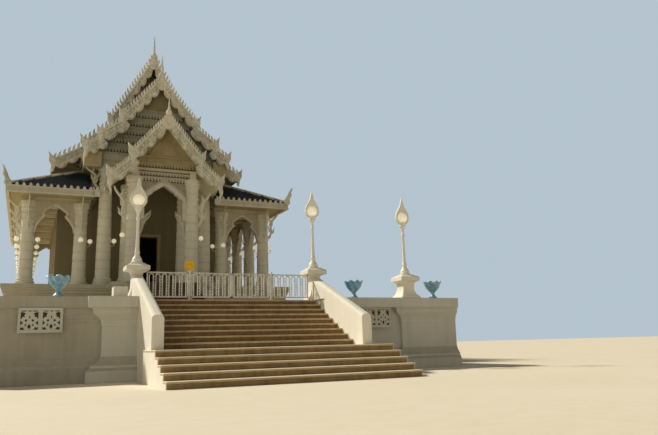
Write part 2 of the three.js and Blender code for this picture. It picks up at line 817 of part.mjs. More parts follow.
add('porch_roof', gableRoof(porchTiers, porchVergeBehind, architraveFrontBehind), tile);
add('porch_bargeboards', bargeboards(porchTiers, porchVergeBehind, porchSpireHeight), plaster);
add('porch_tympanum', tympanum(
  porchTiers, porchColumnX + porchBeamX, porchBeamTop, porchColumnBehind - gableWall / 2,
  porchColumnBehind + gableWall / 2,
), plaster);

const frontRoof = () => gableRoof(frontTiers, frontVergeBehind, cellaBehind);
const frontBargeboards = () => bargeboards(frontTiers, frontVergeBehind, frontSpireHeight);
const frontTympanum = () => tympanum(
  frontTiers, porticoHalfWidth, architraveTop, architraveFrontBehind,
  architraveFrontBehind + gableWall);
add('front_roof', frontRoof(), tile);
add('front_bargeboards', frontBargeboards(), plaster);
add('front_tympanum', frontTympanum(), plaster);
add('rear_roof', turnedAround(frontRoof()), tile);
add('rear_bargeboards', turnedAround(frontBargeboards()), plaster);
add('rear_tympanum', turnedAround(frontTympanum()), plaster);

const mainBargeboards = () => bargeboards(mainTiers, mainVergeBehind, mainSpireHeight);
const mainTympanum = () => tympanum(
  mainTiers, cellaHalfWidth, cellaTop, cellaBehind, cellaBehind + gableWall);
add('main_roof', gableRoof(mainTiers, mainVergeBehind, rearOf(mainVergeBehind)), tile);
add('main_front_bargeboards', mainBargeboards(), plaster);
add('main_front_tympanum', mainTympanum(), plaster);
add('main_rear_bargeboards', turnedAround(mainBargeboards()), plaster);
add('main_rear_tympanum', turnedAround(mainTympanum()), plaster);

export default temple;
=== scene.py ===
import math

import bmesh
import bpy
from mathutils import Matrix, Vector
from mathutils.geometry import tessellate_polygon


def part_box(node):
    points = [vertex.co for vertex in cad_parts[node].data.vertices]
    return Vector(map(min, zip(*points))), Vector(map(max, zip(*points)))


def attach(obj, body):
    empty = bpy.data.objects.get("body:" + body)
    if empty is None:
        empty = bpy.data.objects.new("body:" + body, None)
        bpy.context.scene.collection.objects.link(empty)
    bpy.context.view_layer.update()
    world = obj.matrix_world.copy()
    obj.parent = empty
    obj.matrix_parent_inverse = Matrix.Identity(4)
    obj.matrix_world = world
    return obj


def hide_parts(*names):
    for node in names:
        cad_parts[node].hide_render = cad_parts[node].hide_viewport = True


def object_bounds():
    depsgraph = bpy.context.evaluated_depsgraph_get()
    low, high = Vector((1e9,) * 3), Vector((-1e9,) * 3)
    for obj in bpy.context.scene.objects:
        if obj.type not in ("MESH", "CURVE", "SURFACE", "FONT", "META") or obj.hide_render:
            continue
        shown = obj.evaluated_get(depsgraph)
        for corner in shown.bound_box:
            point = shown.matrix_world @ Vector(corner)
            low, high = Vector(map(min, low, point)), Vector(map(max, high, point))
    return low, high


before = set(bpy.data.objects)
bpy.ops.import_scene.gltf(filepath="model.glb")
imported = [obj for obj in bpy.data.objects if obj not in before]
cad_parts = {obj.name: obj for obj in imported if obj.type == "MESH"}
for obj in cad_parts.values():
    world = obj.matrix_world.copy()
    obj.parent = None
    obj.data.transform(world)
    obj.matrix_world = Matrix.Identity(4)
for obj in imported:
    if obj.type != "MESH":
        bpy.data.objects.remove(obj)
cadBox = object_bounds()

rearY = cadBox[1][1]          # the stair's foot is at -rearY


def at(behind):
    return behind - rearY     # a distance behind the stair's foot, as y


# Levels and lines that several pieces share, most of them read from the frame.
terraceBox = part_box("terrace_core")
terraceTop, coreFrontY = terraceBox[1][2], terraceBox[0][1]
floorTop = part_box("hall_plinth")[1][2]
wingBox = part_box("right_wing_arcade")
wingY = (wingBox[0][1] + wingBox[1][1]) / 2
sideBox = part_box("right_side_arcade")
sideX = (sideBox[0][0] + sideBox[1][0]) / 2
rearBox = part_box("rear_arcade")
rearRowY = (rearBox[0][1] + rearBox[1][1]) / 2
middleY = (wingY + rearRowY) / 2
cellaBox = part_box("hall_front_wall")
cellaX, cellaY = cellaBox[1][0], cellaBox[0][1]
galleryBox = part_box("gallery_roof")
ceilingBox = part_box("gallery_ceiling")
ceilingUnder = ceilingBox[0][2]
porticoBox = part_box("portico")
porchX, porchY = 1.39, at(17.44)      # the porch's front columns
portalX, portalY = 2.48, at(19.39)    # the portico's columns
porticoY = at(19.04)                  # the portico's face over them


# Sets inputs of a shader node, each to a value or to the output that feeds it.
def feed(tree, target, inputs):
    for key, value in dict(inputs).items():
        if isinstance(value, bpy.types.NodeSocket):
            tree.links.new(value, target.inputs[key])
        else:
            target.inputs[key].default_value = value
    return target


def node(tree, kind, inputs=(), **settings):
    made = tree.nodes.new(kind)
    for key, value in settings.items():
        setattr(made, key, value)
    return feed(tree, made, inputs)


print("camera and light")

cameraSetup = {
    "place": (-5.79, -31.79, 0.845),   # below the terrace's edge and left of the stair
    "yaw": 25.21,                      # degrees to the right of straight ahead
    "pitch": 11.03,
    "roll": -1.54,
    "focalPixels": 646.2, "framePixels": 658,
}


def makeCamera(setup):
    yaw, pitch, roll = (math.radians(setup[key]) for key in ("yaw", "pitch", "roll"))
    ahead = Vector((math.sin(yaw) * math.cos(pitch), math.cos(yaw) * math.cos(pitch), math.sin(pitch)))
    level = Vector((math.cos(yaw), -math.sin(yaw), 0))
    upright = level.cross(ahead)
    right = math.cos(roll) * level + math.sin(roll) * upright
    up = math.cos(roll) * upright - math.sin(roll) * level
    turn = Matrix((right, up, -ahead)).transposed().to_4x4()
    data = bpy.data.cameras.new("camera")
    data.sensor_width = 36
    data.lens = setup["focalPixels"] * data.sensor_width / setup["framePixels"]
    data.clip_end = 400
    camera = bpy.data.objects.new("camera", data)
    camera.matrix_world = Matrix.Translation(setup["place"]) @ turn
    bpy.context.collection.objects.link(camera)
    bpy.context.scene.camera = camera


makeCamera(cameraSetup)

lightSetup = {
    "backdrop": (0.46, 0.55, 0.62),                    # what the camera sees behind the hall
    "sky": (0.82, 0.825, 0.74), "skyStrength": 0.18,   # the soft light from all round
    "sunTurn": (48, 0, -138), "sunStrength": 3.9, "sunAngle": 4, "sunColour": (1.0, 0.95, 0.83),
    "fillTurn": (62, 0, -38), "fillStrength": 0.28, "fillAngle": 60,
    "fillColour": (1.0, 0.96, 0.85),
}


def makeLights(setup):
    world = bpy.data.worlds.new("pale sky")
    world.use_nodes = True
    tree = world.node_tree
    soft = feed(tree, tree.nodes["Background"],
                {"Color": (*setup["sky"], 1), "Strength": setup["skyStrength"]})
    seen = node(tree, "ShaderNodeBackground", {"Color": (*setup["backdrop"], 1)})
    path = node(tree, "ShaderNodeLightPath")
    choose = node(tree, "ShaderNodeMixShader", {
        0: path.outputs["Is Camera Ray"], 1: soft.outputs[0], 2: seen.outputs[0]})
    feed(tree, tree.nodes["World Output"], {"Surface": choose.outputs[0]})
    bpy.context.scene.world = world
    for name in ("sun", "fill"):
        data = bpy.data.lights.new(name, "SUN")
        data.energy = setup[name + "Strength"]
        data.color = setup[name + "Colour"]
        data.angle = math.radians(setup[name + "Angle"])
        light = bpy.data.objects.new(name, data)
        light.rotation_euler = [math.radians(turn) for turn in setup[name + "Turn"]]
        bpy.context.collection.objects.link(light)
    bpy.context.scene.view_settings.view_transform = "Standard"


makeLights(lightSetup)

print("materials")


def newGroup(name, inputs, outputs):
    group = bpy.data.node_groups.new(name, "ShaderNodeTree")
    for label, value in inputs.items():
        socket = group.interface.new_socket(label, in_out="INPUT", socket_type="NodeSocketFloat")
        socket.default_value = value
    for label in outputs:
        group.interface.new_socket(label, in_out="OUTPUT", socket_type="NodeSocketFloat")
    return group, group.nodes.new("NodeGroupInput"), group.nodes.new("NodeGroupOutput")


# Rain marks that run down a wall, with soft cloudy soiling. Puts out a mask from 0 clean to 1 soiled.
def weatherGroup():
    group, given, result = newGroup(
        "rain marks", {"Streak Size": 3.0, "Cloud Size": 0.6, "Contrast": 1.0}, ["Mask"])
    place = node(group, "ShaderNodeTexCoord").outputs["Object"]
    stretch = node(group, "ShaderNodeMapping", {"Vector": place, "Scale": (1.0, 1.0, 0.12)})
    streaks = node(group, "ShaderNodeTexNoise", {
        "Vector": stretch.outputs["Vector"], "Scale": given.outputs["Streak Size"], "Detail": 5.0,
        "Roughness": 0.62})
    clouds = node(group, "ShaderNodeTexNoise", {
        "Vector": place, "Scale": given.outputs["Cloud Size"], "Detail": 6.0, "Roughness": 0.6})
    product = node(group, "ShaderNodeMath", {0: streaks.outputs["Fac"], 1: clouds.outputs["Fac"]},
                   operation="MULTIPLY")
    spread = node(group, "ShaderNodeMapRange", {
        "Value": product.outputs["Value"], "From Min": 0.16, "From Max": 0.42})
    strength = node(group, "ShaderNodeMath", {0: spread.outputs["Result"], 1: given.outputs["Contrast"]},
                    operation="MULTIPLY", use_clamp=True)
    feed(group, result, {"Mask": strength.outputs["Value"]})
    return group


# Fine and coarse unevenness of a hand-finished surface, as a height.
def grainGroup():
    group, given, result = newGroup(
        "hand finish", {"Fine Size": 90.0, "Coarse Size": 7.0, "Coarse Share": 0.5}, ["Height"])
    place = node(group, "ShaderNodeTexCoord").outputs["Object"]
    fine, coarse = (node(group, "ShaderNodeTexNoise", {
        "Vector": place, "Scale": given.outputs[size], "Detail": detail}).outputs["Fac"]
        for size, detail in (("Fine Size", 4.0), ("Coarse Size", 3.0)))
    blend = node(group, "ShaderNodeMix", {"Factor": given.outputs["Coarse Share"], "A": fine, "B": coarse},
                 data_type="FLOAT")
    feed(group, result, {"Height": blend.outputs["Result"]})
    return group


# Says whether the surface faces up or down.
def facingGroup():
    group, _, result = newGroup("facing", {}, ["Up", "Down"])
    shape = node(group, "ShaderNodeNewGeometry")
    split = node(group, "ShaderNodeSeparateXYZ", {"Vector": shape.outputs["True Normal"]})
    for label, low, high in (("Up", 0.15, 0.25), ("Down", -0.15, -0.25)):
        mask = node(group, "ShaderNodeMapRange", {
            "Value": split.outputs["Z"], "From Min": low, "From Max": high})
        feed(group, result, {label: mask.outputs["Result"]})
    return group


weather, grain, facing = weatherGroup(), grainGroup(), facingGroup()


def groupNode(tree, group, inputs=()):
    return node(tree, "ShaderNodeGroup", inputs, node_tree=group)


def mixColours(tree, factor, first, second):
    first, second = ((*colour, 1) if isinstance(colour, tuple) else colour for colour in (first, second))
    return node(tree, "ShaderNodeMix", {"Factor": factor, 6: first, 7: second}, data_type="RGBA").outputs[2]


# A finish: its clean and soiled colours, how marked and how rough it is, and how deep its grain goes.
def makeMaterial(name, clean, soiled, roughness=0.8, contrast=1.0, streak=3.0, cloud=0.6, fine=90.0,
                 coarse=7.0, bump=0.012, metallic=0.0, coat=0.0, glow=None):
    material = bpy.data.materials.new(name)
    material.use_nodes = True
    tree = material.node_tree
    marks = groupNode(tree, weather, {"Streak Size": streak, "Cloud Size": cloud, "Contrast": contrast})
    height = groupNode(tree, grain, {"Fine Size": fine, "Coarse Size": coarse}).outputs["Height"]
    relief = node(tree, "ShaderNodeBump", {"Height": height, "Strength": 0.6, "Distance": bump})
    rough = node(tree, "ShaderNodeMapRange", {
        "Value": height, "To Min": roughness - 0.08, "To Max": min(roughness + 0.1, 1)})
    shader = feed(tree, tree.nodes["Principled BSDF"], {
        "Base Color": mixColours(tree, marks.outputs["Mask"], clean, soiled),
        "Normal": relief.outputs["Normal"], "Roughness": rough.outputs["Result"],
        "Metallic": metallic, "Coat Weight": coat})
    if glow:
        feed(tree, shader, {"Emission Color": (*glow, 1), "Emission Strength": 0.34})
    return material


# Adds a second finish where the surface faces the given way; some callers use it for painted light and shade
# on tops and undersides.
def faceWith(material, way, clean, soiled):
    tree = material.node_tree
    shader = tree.nodes["Principled BSDF"]
    before = shader.inputs["Base Color"].links[0].from_socket
    marks = groupNode(tree, weather, {"Streak Size": 5.0, "Cloud Size": 1.4, "Contrast": 1.0})
    other = mixColours(tree, marks.outputs["Mask"], clean, soiled)
    feed(tree, shader, {
        "Base Color": mixColours(tree, groupNode(tree, facing).outputs[way], before, other)})
    return material


# Marks and grain that several finishes share.
carvedGrain = {"streak": 6.0, "cloud": 2.2, "coarse": 22.0, "bump": 0.02}
gableGrain = {"streak": 5.0, "cloud": 1.6, "coarse": 16.0}
stoneGrain = {"streak": 9.0, "fine": 140.0}

whitePlaster = makeMaterial("white plaster", (0.84, 0.80, 0.69), (0.72, 0.67, 0.55), contrast=0.6)
lampPaint = makeMaterial("lamp paint", (0.86, 0.83, 0.73), (0.74, 0.70, 0.60), contrast=0.5, roughness=0.5,
                         fine=14.0, coarse=4.0, bump=0.0008)
# Painted light and shade: the terrace plaster's faces are darkened for the trees' shade on the left wall, the
# corner blocks' faces are paler as painted light, and both have the same colour on top.
terracePlaster = makeMaterial("terrace plaster", (0.47, 0.44, 0.36), (0.34, 0.31, 0.24), contrast=0.8,
                              streak=4.0)
blockPlaster = makeMaterial("corner block plaster", (0.63, 0.61, 0.54), (0.50, 0.48, 0.41), contrast=0.7,
                            streak=4.0)
for material in (terracePlaster, blockPlaster):
    faceWith(material, "Up", (0.50, 0.46, 0.38), (0.40, 0.36, 0.29))
hallPlaster = makeMaterial("hall plaster", (0.56, 0.515, 0.385), (0.43, 0.39, 0.28), contrast=0.8)
# Painted light: the columns' plaster is paler than the walls' to stand for the light on them.
columnPlaster = makeMaterial("column plaster", (0.75, 0.715, 0.585), (0.58, 0.55, 0.435), contrast=0.8)
# Painted shade: the hall's inner walls and the wall behind the portico are dark browns for the shade they
# stand in.
innerPlaster = makeMaterial("inner plaster", (0.42, 0.325, 0.175), (0.34, 0.26, 0.135), contrast=0.7)
doorWall = makeMaterial("door wall plaster", (0.27, 0.23, 0.135), (0.20, 0.17, 0.10), contrast=0.7)
carvedPlaster = makeMaterial("carved plaster", (0.80, 0.765, 0.63), (0.52, 0.49, 0.385), **carvedGrain)
# Painted shade: the boards behind the verge carving are darker for the shade between the carved parts.
groundPlaster = makeMaterial("carving ground", (0.62, 0.59, 0.475), (0.38, 0.355, 0.27), **carvedGrain)
gablePlaster = makeMaterial("gable plaster", (0.40, 0.37, 0.27), (0.26, 0.235, 0.165), bump=0.04,
                            **gableGrain)
warmPlaster = makeMaterial("porch gable plaster", (0.46, 0.385, 0.215), (0.34, 0.275, 0.145), bump=0.03,
                           **gableGrain)
gableTopPlaster = makeMaterial("gable top plaster", (0.27, 0.23, 0.13), (0.20, 0.165, 0.09), bump=0.03,
                               **gableGrain)
# Painted light and shade: a warm tan for the bounce light on the ceilings and for the shade on the boxed eave
# ends.
soffitPlaster = makeMaterial("soffit plaster", (0.46, 0.37, 0.21), (0.36, 0.28, 0.15), contrast=0.8)
# Painted shade: a near black for the hollows behind the hanging leaves, where shade falls.
deepShade = makeMaterial("painted shade in the hollows", (0.11, 0.09, 0.055), (0.07, 0.055, 0.03))
ventShade = makeMaterial("dark behind the vents", (0.05, 0.042, 0.03), (0.03, 0.025, 0.018))


# A roof's slab: dark under the tiles, painted at its edges, and in its own colour below, where light is
# painted.
def roofFinish(name, below, belowSoiled):
    made = faceWith(makeMaterial(name, (0.58, 0.54, 0.41), (0.44, 0.40, 0.29)), "Down", below, belowSoiled)
    return faceWith(made, "Up", (0.02, 0.025, 0.045), (0.05, 0.055, 0.07))


# Painted light under the roofs: the porch's and gallery's undersides are pale for the bounce light from the
# sunlit ground; the upper roofs' undersides are darker.
galleryDeck = roofFinish("gallery roof deck", (0.72, 0.63, 0.43), (0.60, 0.51, 0.34))
porchDeck = roofFinish("porch roof deck", (0.94, 0.87, 0.67), (0.84, 0.76, 0.56))
upperDeck = roofFinish("upper roof deck", (0.34, 0.30, 0.20), (0.24, 0.21, 0.13))
darkTile = makeMaterial("dark glazed tile", (0.012, 0.017, 0.036), (0.045, 0.055, 0.08), roughness=0.32,
                        streak=14.0, cloud=3.0, fine=40.0, bump=0.006, coat=0.5)
tileCap = makeMaterial("white tile cap", (0.66, 0.63, 0.53), (0.50, 0.47, 0.38), roughness=0.45)
beamPaint = makeMaterial("beam paint", (0.98, 0.92, 0.70), (0.90, 0.83, 0.60), contrast=0.4)
treadStone = makeMaterial("tread stone", (0.62, 0.47, 0.27), (0.42, 0.31, 0.16), cloud=2.0, bump=0.006,
                          **stoneGrain)
# Painted light: the lower treads' stone has paler tops for the sunlight on the lower flight.
sunlitTopTreadStone = makeMaterial("lower tread stone with painted sunlit tops", (0.60, 0.45, 0.25), (0.44, 0.32, 0.17), cloud=2.0, bump=0.004,
                         **stoneGrain)
faceWith(sunlitTopTreadStone, "Up", (0.92, 0.82, 0.62), (0.80, 0.69, 0.50))
riserStone = makeMaterial("riser stone", (0.30, 0.19, 0.085), (0.17, 0.10, 0.042), cloud=2.4, bump=0.008,
                          **stoneGrain)
# Painted light: the lower risers' stone is paler than the upper risers' only for the light they get.
lowRiserStone = makeMaterial("lower riser stone", (0.40, 0.27, 0.13), (0.23, 0.145, 0.065), cloud=2.4,
                             bump=0.008, **stoneGrain)
# Painted highlight: a near white strip along each lower step's front edge, for the light that edge catches.
stepHighlightPaint = makeMaterial("painted highlight on step edge", (0.98, 0.93, 0.78), (0.90, 0.84, 0.68), contrast=0.6, bump=0.003)
shadedStone = makeMaterial("hall stair stone", (0.15, 0.095, 0.05), (0.09, 0.055, 0.03), cloud=2.4,
                           bump=0.008, **stoneGrain)
silverPaint = makeMaterial("silver paint", (0.84, 0.81, 0.74), (0.50, 0.46, 0.39), roughness=0.42,
                           streak=20.0, cloud=6.0, bump=0.003, metallic=0.15)
opalGlass = makeMaterial("opal glass", (0.92, 0.88, 0.74), (0.84, 0.78, 0.62), roughness=0.22, fine=9.0,
                         coarse=4.0, bump=0.0006, coat=0.6, glow=(1.0, 0.90, 0.66))
potGlaze = makeMaterial("pot glaze", (0.08, 0.29, 0.48), (0.34, 0.55, 0.68), roughness=0.3, streak=12.0,
                        cloud=9.0, bump=0.01, coat=0.6, contrast=1.2)
potSoil = makeMaterial("potting soil", (0.05, 0.035, 0.02), (0.10, 0.07, 0.045), roughness=0.95, bump=0.03)
goldPaint = makeMaterial("gold paint", (0.95, 0.55, 0.02), (0.72, 0.38, 0.01), roughness=0.4, cloud=9.0,
                         bump=0.004, metallic=0.25)
warmPaving = makeMaterial("pale floor", (0.82, 0.735, 0.58), (0.77, 0.68, 0.52), cloud=0.2)

print("shape tools")


def placed(plane, u, v, t):
    return {"front": (u, t, v), "side": (t, u, v), "ground": (u, v, t)}[plane]


# The faces of a closed tube through rings of points that follow each other from the point base on.
def tubeFaces(rings, count, base=0):
    end = base + rings * count
    faces = [tuple(range(base, base + count)), tuple(range(end - 1, end - count - 1, -1))]
    for ring in range(base, end - count, count):
        for i in range(count):
            a, b = ring + i, ring + (i + 1) % count
            faces.append((a, b, b + count, a + count))
    return faces


def blockShape(x0, x1, y0, y1, z0, z1):
    return prismShape([(x0, z0), (x1, z0), (x1, z1), (x0, z1)], y0, y1)


# An outline run from t0 to t1: "front" outlines are x and z, "side" ones y and z, "ground" ones x and y.
def prismShape(points, t0, t1, plane="front"):
    return [placed(plane, u, v, t) for t in (t0, t1) for u, v in points], tubeFaces(2, len(points))


# A flat plate pierced by outlines of x and z.
def piercedShape(outline, holes, y0, y1):
    loops = [[Vector((u, v, 0)) for u, v in loop] for loop in (outline, *holes)]
    spots = [spot for loop in loops for spot in loop]
    count, start = len(spots), 0
    verts = [(spot.x, y, spot.y) for y in (y0, y1) for spot in spots]
    faces = []
    for triangle in tessellate_polygon(loops):
        faces += [tuple(triangle), tuple(count + i for i in reversed(triangle))]
    for loop in loops:
        size = len(loop)
        for i in range(size):
            a, b = start + i, start + (i + 1) % size
            faces.append((a, b, count + b, count + a))
        start += size
    return verts, faces


# A profile of (radius, height) points turned about an upright axis.
def turnedShape(profile, x, y, sides=24, wave=None):
    verts, rings, faces = [], [], []
    for level, (radius, z) in enumerate(profile):
        spots = 1 if radius < 1e-6 else sides
        rings.append([len(verts) + i for i in range(spots)])
        for i in range(spots):
            angle = math.tau * i / sides
            grown, lift = wave(level, angle, radius) if wave and spots > 1 else (radius, 0)
            verts.append((x + grown * math.cos(angle), y + grown * math.sin(angle), z + lift))
    for low, high in zip(rings, rings[1:]):
        for i in range(sides):
            j = (i + 1) % sides
            corners = dict.fromkeys((low[i % len(low)], low[j % len(low)],
                                     high[j % len(high)], high[i % len(high)]))
            if len(corners) > 2:
                faces.append(tuple(corners))
    return verts, faces


# A tapering bar along a path of (x, z) points at depth y, thick across it as well.
def hornShape(path, radii, y, sides=8, flat=0.7):
    verts, last = [], len(path) - 1
    for i, ((x, z), radius) in enumerate(zip(path, radii)):
        (x0, z0), (x1, z1) = path[max(i - 1, 0)], path[min(i + 1, last)]
        length = math.hypot(x1 - x0, z1 - z0) or 1
        across = ((z1 - z0) / length, -(x1 - x0) / length)
        for k in range(sides):
            angle = math.tau * k / sides
            reach = radius * math.cos(angle)
            verts.append((x + across[0] * reach, y + radius * flat * math.sin(angle), z + across[1] * reach))
    return verts, tubeFaces(len(path), sides)


def ballShape(x, y, z, radius, sides=16, levels=10):
    profile = []
    for i in range(levels + 1):
        angle = math.pi * i / levels
        profile.append((radius * math.sin(angle) if 0 < i < levels else 0, z - radius * math.cos(angle)))
    return turnedShape(profile, x, y, sides)


# A smooth curve through the points.
def smoothPath(points, steps=4, closed=False):
    path, count = [], len(points)
    for i in range(count if closed else count - 1):
        near = [points[(i + k) % count] if closed else points[min(max(i + k, 0), count - 1)]
                for k in (-1, 0, 1, 2)]
        for step in range(steps):
            t = step / steps
            weights = (-t + 2 * t * t - t ** 3, 2 - 5 * t * t + 3 * t ** 3,
                       t + 4 * t * t - 3 * t ** 3, -t * t + t ** 3)
            path.append(tuple(sum(w * p[axis] for w, p in zip(weights, near)) / 2
                              for axis in range(len(points[0]))))
    return path if closed else path + [points[-1]]


# A curl through (x, z) points that thins out to the share of its radius in tip, and may swell on the way.
def curlShape(points, steps, radius, tip, y, sides=6, flat=0.5, swell=0.0):
    path = smoothPath(points, steps)
    last = len(path) - 1
    radii = [radius * (1 - (1 - tip) * i / last + swell * math.sin(math.pi * i / last))
             for i in range(last + 1)]
    return hornShape(path, radii, y, sides, flat)


# The outline that runs beside an open path at a distance to its left.
def beside(points, distance):
    shifted, last = [], len(points) - 1
    for i, (u, v) in enumerate(points):
        normals = []
        for a, b in ((i - 1, i), (i, i + 1)):
            if 0 <= a and b <= last:
                du, dv = points[b][0] - points[a][0], points[b][1] - points[a][1]
                length = math.hypot(du, dv) or 1
                normals.append((-dv / length, du / length))
        nu, nv = sum(n[0] for n in normals), sum(n[1] for n in normals)
        size = max(math.hypot(nu, nv), 1e-9)
        nu, nv = nu / size, nv / size
        lean = max(nu * normals[0][0] + nv * normals[0][1], 0.5)
        shifted.append((u + nu * distance / lean, v + nv * distance / lean))
    return shifted


# A flat band that follows an open path between two distances to its left.
def bandShape(points, inner, outer, t0, t1, plane="front"):
    near, far = beside(points, inner), beside(points, outer)
    count = len(points)
    verts = [placed(plane, u, v, t) for t in (t0, t1) for u, v in near + far]
    faces = []
    for i in range(count - 1):
        for base, flip in ((0, False), (2 * count, True)):
            quad = (base + i, base + i + 1, base + count + i + 1, base + count + i)
            faces.append(quad[::-1] if flip else quad)
        faces.append((i, i + 1, 2 * count + i + 1, 2 * count + i))
        faces.append((count + i, count + i + 1, 3 * count + i + 1, 3 * count + i))
    for i in (0, count - 1):
        faces.append((i, count + i, 3 * count + i, 2 * count + i))
    return verts, faces


# Small leaves in a row along a path, on its left side, standing out by the size.
def leafRow(points, size, pitch, y0, y1):
    shapes, run = [], pitch / 2
    for (u0, v0), (u1, v1) in zip(points, points[1:]):
        length = math.hypot(u1 - u0, v1 - v0) or 1
        du, dv = (u1 - u0) / length, (v1 - v0) / length
        while run < length:
            u, v = u0 + du * run, v0 + dv * run
            outline = [(-0.45, 0), (-0.4, 0.45), (0.0, 1), (0.4, 0.45), (0.45, 0)]
            shapes.append(prismShape([(u + du * a * pitch - dv * b * size, v + dv * a * pitch + du * b * size)
                                      for a, b in outline], y0, y1))
            run += pitch
        run -= length
    return shapes


# A profile of shares, brought to its size and set down at the height z.
def scaled(profile, radius, z, high=1):
    return [(radius * a, z + high * b) for a, b in profile]


# A solid through level outlines, each given as its height and its points.
def lofted(plans):
    return [(x, y, z) for z, plan in plans for x, y in plan], tubeFaces(len(plans), len(plans[0][1]))


# Square rings of (half width, height) about an upright axis.
def squareLathe(profile, x, y):
    return lofted([(z, [(x - half, y - half), (x + half, y - half), (x + half, y + half),
                        (x - half, y + half)]) for half, z in profile])


def moved(shape, matrix):
    verts, faces = shape
    return [tuple(matrix @ Vector(v)) for v in verts], faces


# A shape turned about the upright axis, set down at x, y and z with its own top to the front.
def facingFront(shape, x, y, z, size=1.0):
    return moved(shape, Matrix.Translation((x, y, z)) @ Matrix.Rotation(math.pi / 2, 4, "X")
                 @ Matrix.Scale(size, 4))


def mirrored(shape):
    verts, faces = shape
    return [(-x, y, z) for x, y, z in verts], faces


def bothSides(shapes):
    return shapes + [mirrored(shape) for shape in shapes]


# The same shape at the hall's other end.
def turnedRound(shape):
    verts, faces = shape
    return [(-x, 2 * middleY - y, z) for x, y, z in verts], faces


def turnedAll(shapes):
    return [turnedRound(shape) for shape in shapes]


# One mesh of several shapes. Each pair in extra is more shapes and the finish that they have.
def makePiece(name, shapes, material, slotName, nodes=(), body="temple", bevel=0.0, sharp=35, extra=()):
    verts, faces, finishes = [], [], []
    groups = [(shapes, material), *extra]
    for index, (group, finish) in enumerate(groups):
        for shapeVerts, shapeFaces in group:
            base = len(verts)
            verts += shapeVerts
            faces += [tuple(base + i for i in face) for face in shapeFaces]
            finishes += [index] * len(shapeFaces)
    mesh = bpy.data.meshes.new(name)
    mesh.from_pydata(verts, [], faces)
    mesh.polygons.foreach_set("material_index", finishes)
    for group, finish in groups:
        mesh.materials.append(finish)
    work = bmesh.new()
    work.from_mesh(mesh)
    bmesh.ops.recalc_face_normals(work, faces=work.faces)
    work.to_mesh(mesh)
    work.free()
    mesh.shade_smooth()
    mesh.set_sharp_from_angle(angle=math.radians(sharp))
    piece = bpy.data.objects.new(name, mesh)
    bpy.context.collection.objects.link(piece)
    if bevel:
        edge = piece.modifiers.new("worn edge", "BEVEL")
        edge.width = bevel
        edge.segments = 2
        edge.limit_method = "ANGLE"
        edge.angle_limit = math.radians(40)
    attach(piece, body)
    if nodes:
        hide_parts(*nodes)


# The right piece, then its mirror image on the left, each in place of its own side's node.
def makePair(name, shapes, material, slotName, nodeName, body="temple", extra=(), **settings):
    for side in ("right", "left"):
        makePiece(side + "_" + name, shapes, material, slotName, [side + "_" + nodeName],
                  body.replace("right", side), extra=extra, **settings)
        shapes = [mirrored(shape) for shape in shapes]
        extra = [([mirrored(shape) for shape in group], finish) for group, finish in extra]


# The frame's own pieces that stay take a finish as they are.
def dress(names, material):
    for name in names.split():
        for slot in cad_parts[name].material_slots:
            slot.material = material


print("floor")
floorReach = 300
floorData = bpy.data.meshes.new("floor")
floorData.from_pydata([(-floorReach, -floorReach, 0), (floorReach, -floorReach, 0),
                       (floorReach, floorReach, 0), (-floorReach, floorReach, 0)], [], [(0, 1, 2, 3)])
floorData.materials.append(warmPaving)
floorObject = bpy.data.objects.new("floor", floorData)
floorObject.location.z = -0.002
bpy.context.collection.objects.link(floorObject)

print("stairs")
stair = {
    "riser": 0.16, "tread": 0.33, "slab": 0.05, "nosing": 0.035,
    "lowerSteps": 5, "upperSteps": 8, "upperHalf": 2.71,
    "highlightDeep": 0.04, "highlightHigh": 0.036,     # the painted highlight along a lower step's front edge
}
lowerBox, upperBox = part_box("lower_stair"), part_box("upper_stair")
lowerHalf, landingZ = lowerBox[1][0], stair["lowerSteps"] * stair["riser"]


# The solid steps of a flight, and the slabs that lie on them with a nosing.
def flight(box, steps, baseZ):
    halfWide, front, behindEnd = box[1][0], box[0][1], box[1][1]
    bodies, slabs = [], []
    for i in range(steps):
        y = front + i * stair["tread"]
        top = baseZ + (i + 1) * stair["riser"]
        bodies.append(blockShape(-halfWide + 0.02, halfWide - 0.02, y + stair["nosing"], behindEnd,
                                 top - stair["riser"], top - stair["slab"]))
        last = behindEnd if i == steps - 1 else y + stair["tread"] + stair["nosing"] + 0.01
        slabs.append(blockShape(-halfWide, halfWide, y, last, top - stair["slab"], top))
    return bodies, slabs


bodies, slabs = flight(lowerBox, stair["lowerSteps"], 0)
makePiece("lower_risers", bodies, lowRiserStone, "step_stone", ["lower_stair"])
highlightStrips, sideOutline = [], [(lowerBox[1][1], landingZ - stair["slab"]), (lowerBox[1][1], 0)]
# Each lower step gets a thin strip of painted highlight along its front edge.
for i in range(stair["lowerSteps"]):
    y, z = lowerBox[0][1] + i * stair["tread"], (i + 1) * stair["riser"]
    highlightStrips.append(blockShape(0.001 - lowerHalf, lowerHalf - 0.001, y + 0.001, y + stair["highlightDeep"],
                            z - stair["highlightHigh"], z - 0.0005))
    under, foot = z - stair["slab"], y + stair["nosing"] + 0.004
    sideOutline += [(foot, max(under - stair["riser"], 0)), (foot, under)]
makePiece("lower_treads", slabs, sunlitTopTreadStone, "step_stone", bevel=0.012)
makePiece("painted_highlight_step_edges", highlightStrips, stepHighlightPaint, "step_stone")
stairSide = prismShape(sideOutline, lowerHalf - 0.025, lowerHalf - 0.002, "side")
makePiece("lower_stair_sides", bothSides([stairSide]), whitePlaster, "plaster")
bodies, slabs = flight(upperBox, stair["upperSteps"], landingZ)
half, end = stair["upperHalf"], upperBox[1][1]
bodies.append(blockShape(-half - 0.01, half + 0.01, upperBox[0][1] + 0.04, end, 0, landingZ + 0.01))
bodies.append(blockShape(-half + 0.01, half - 0.01, end - 0.012, end + 0.002, terraceTop - 0.165,
                         terraceTop - 0.045))
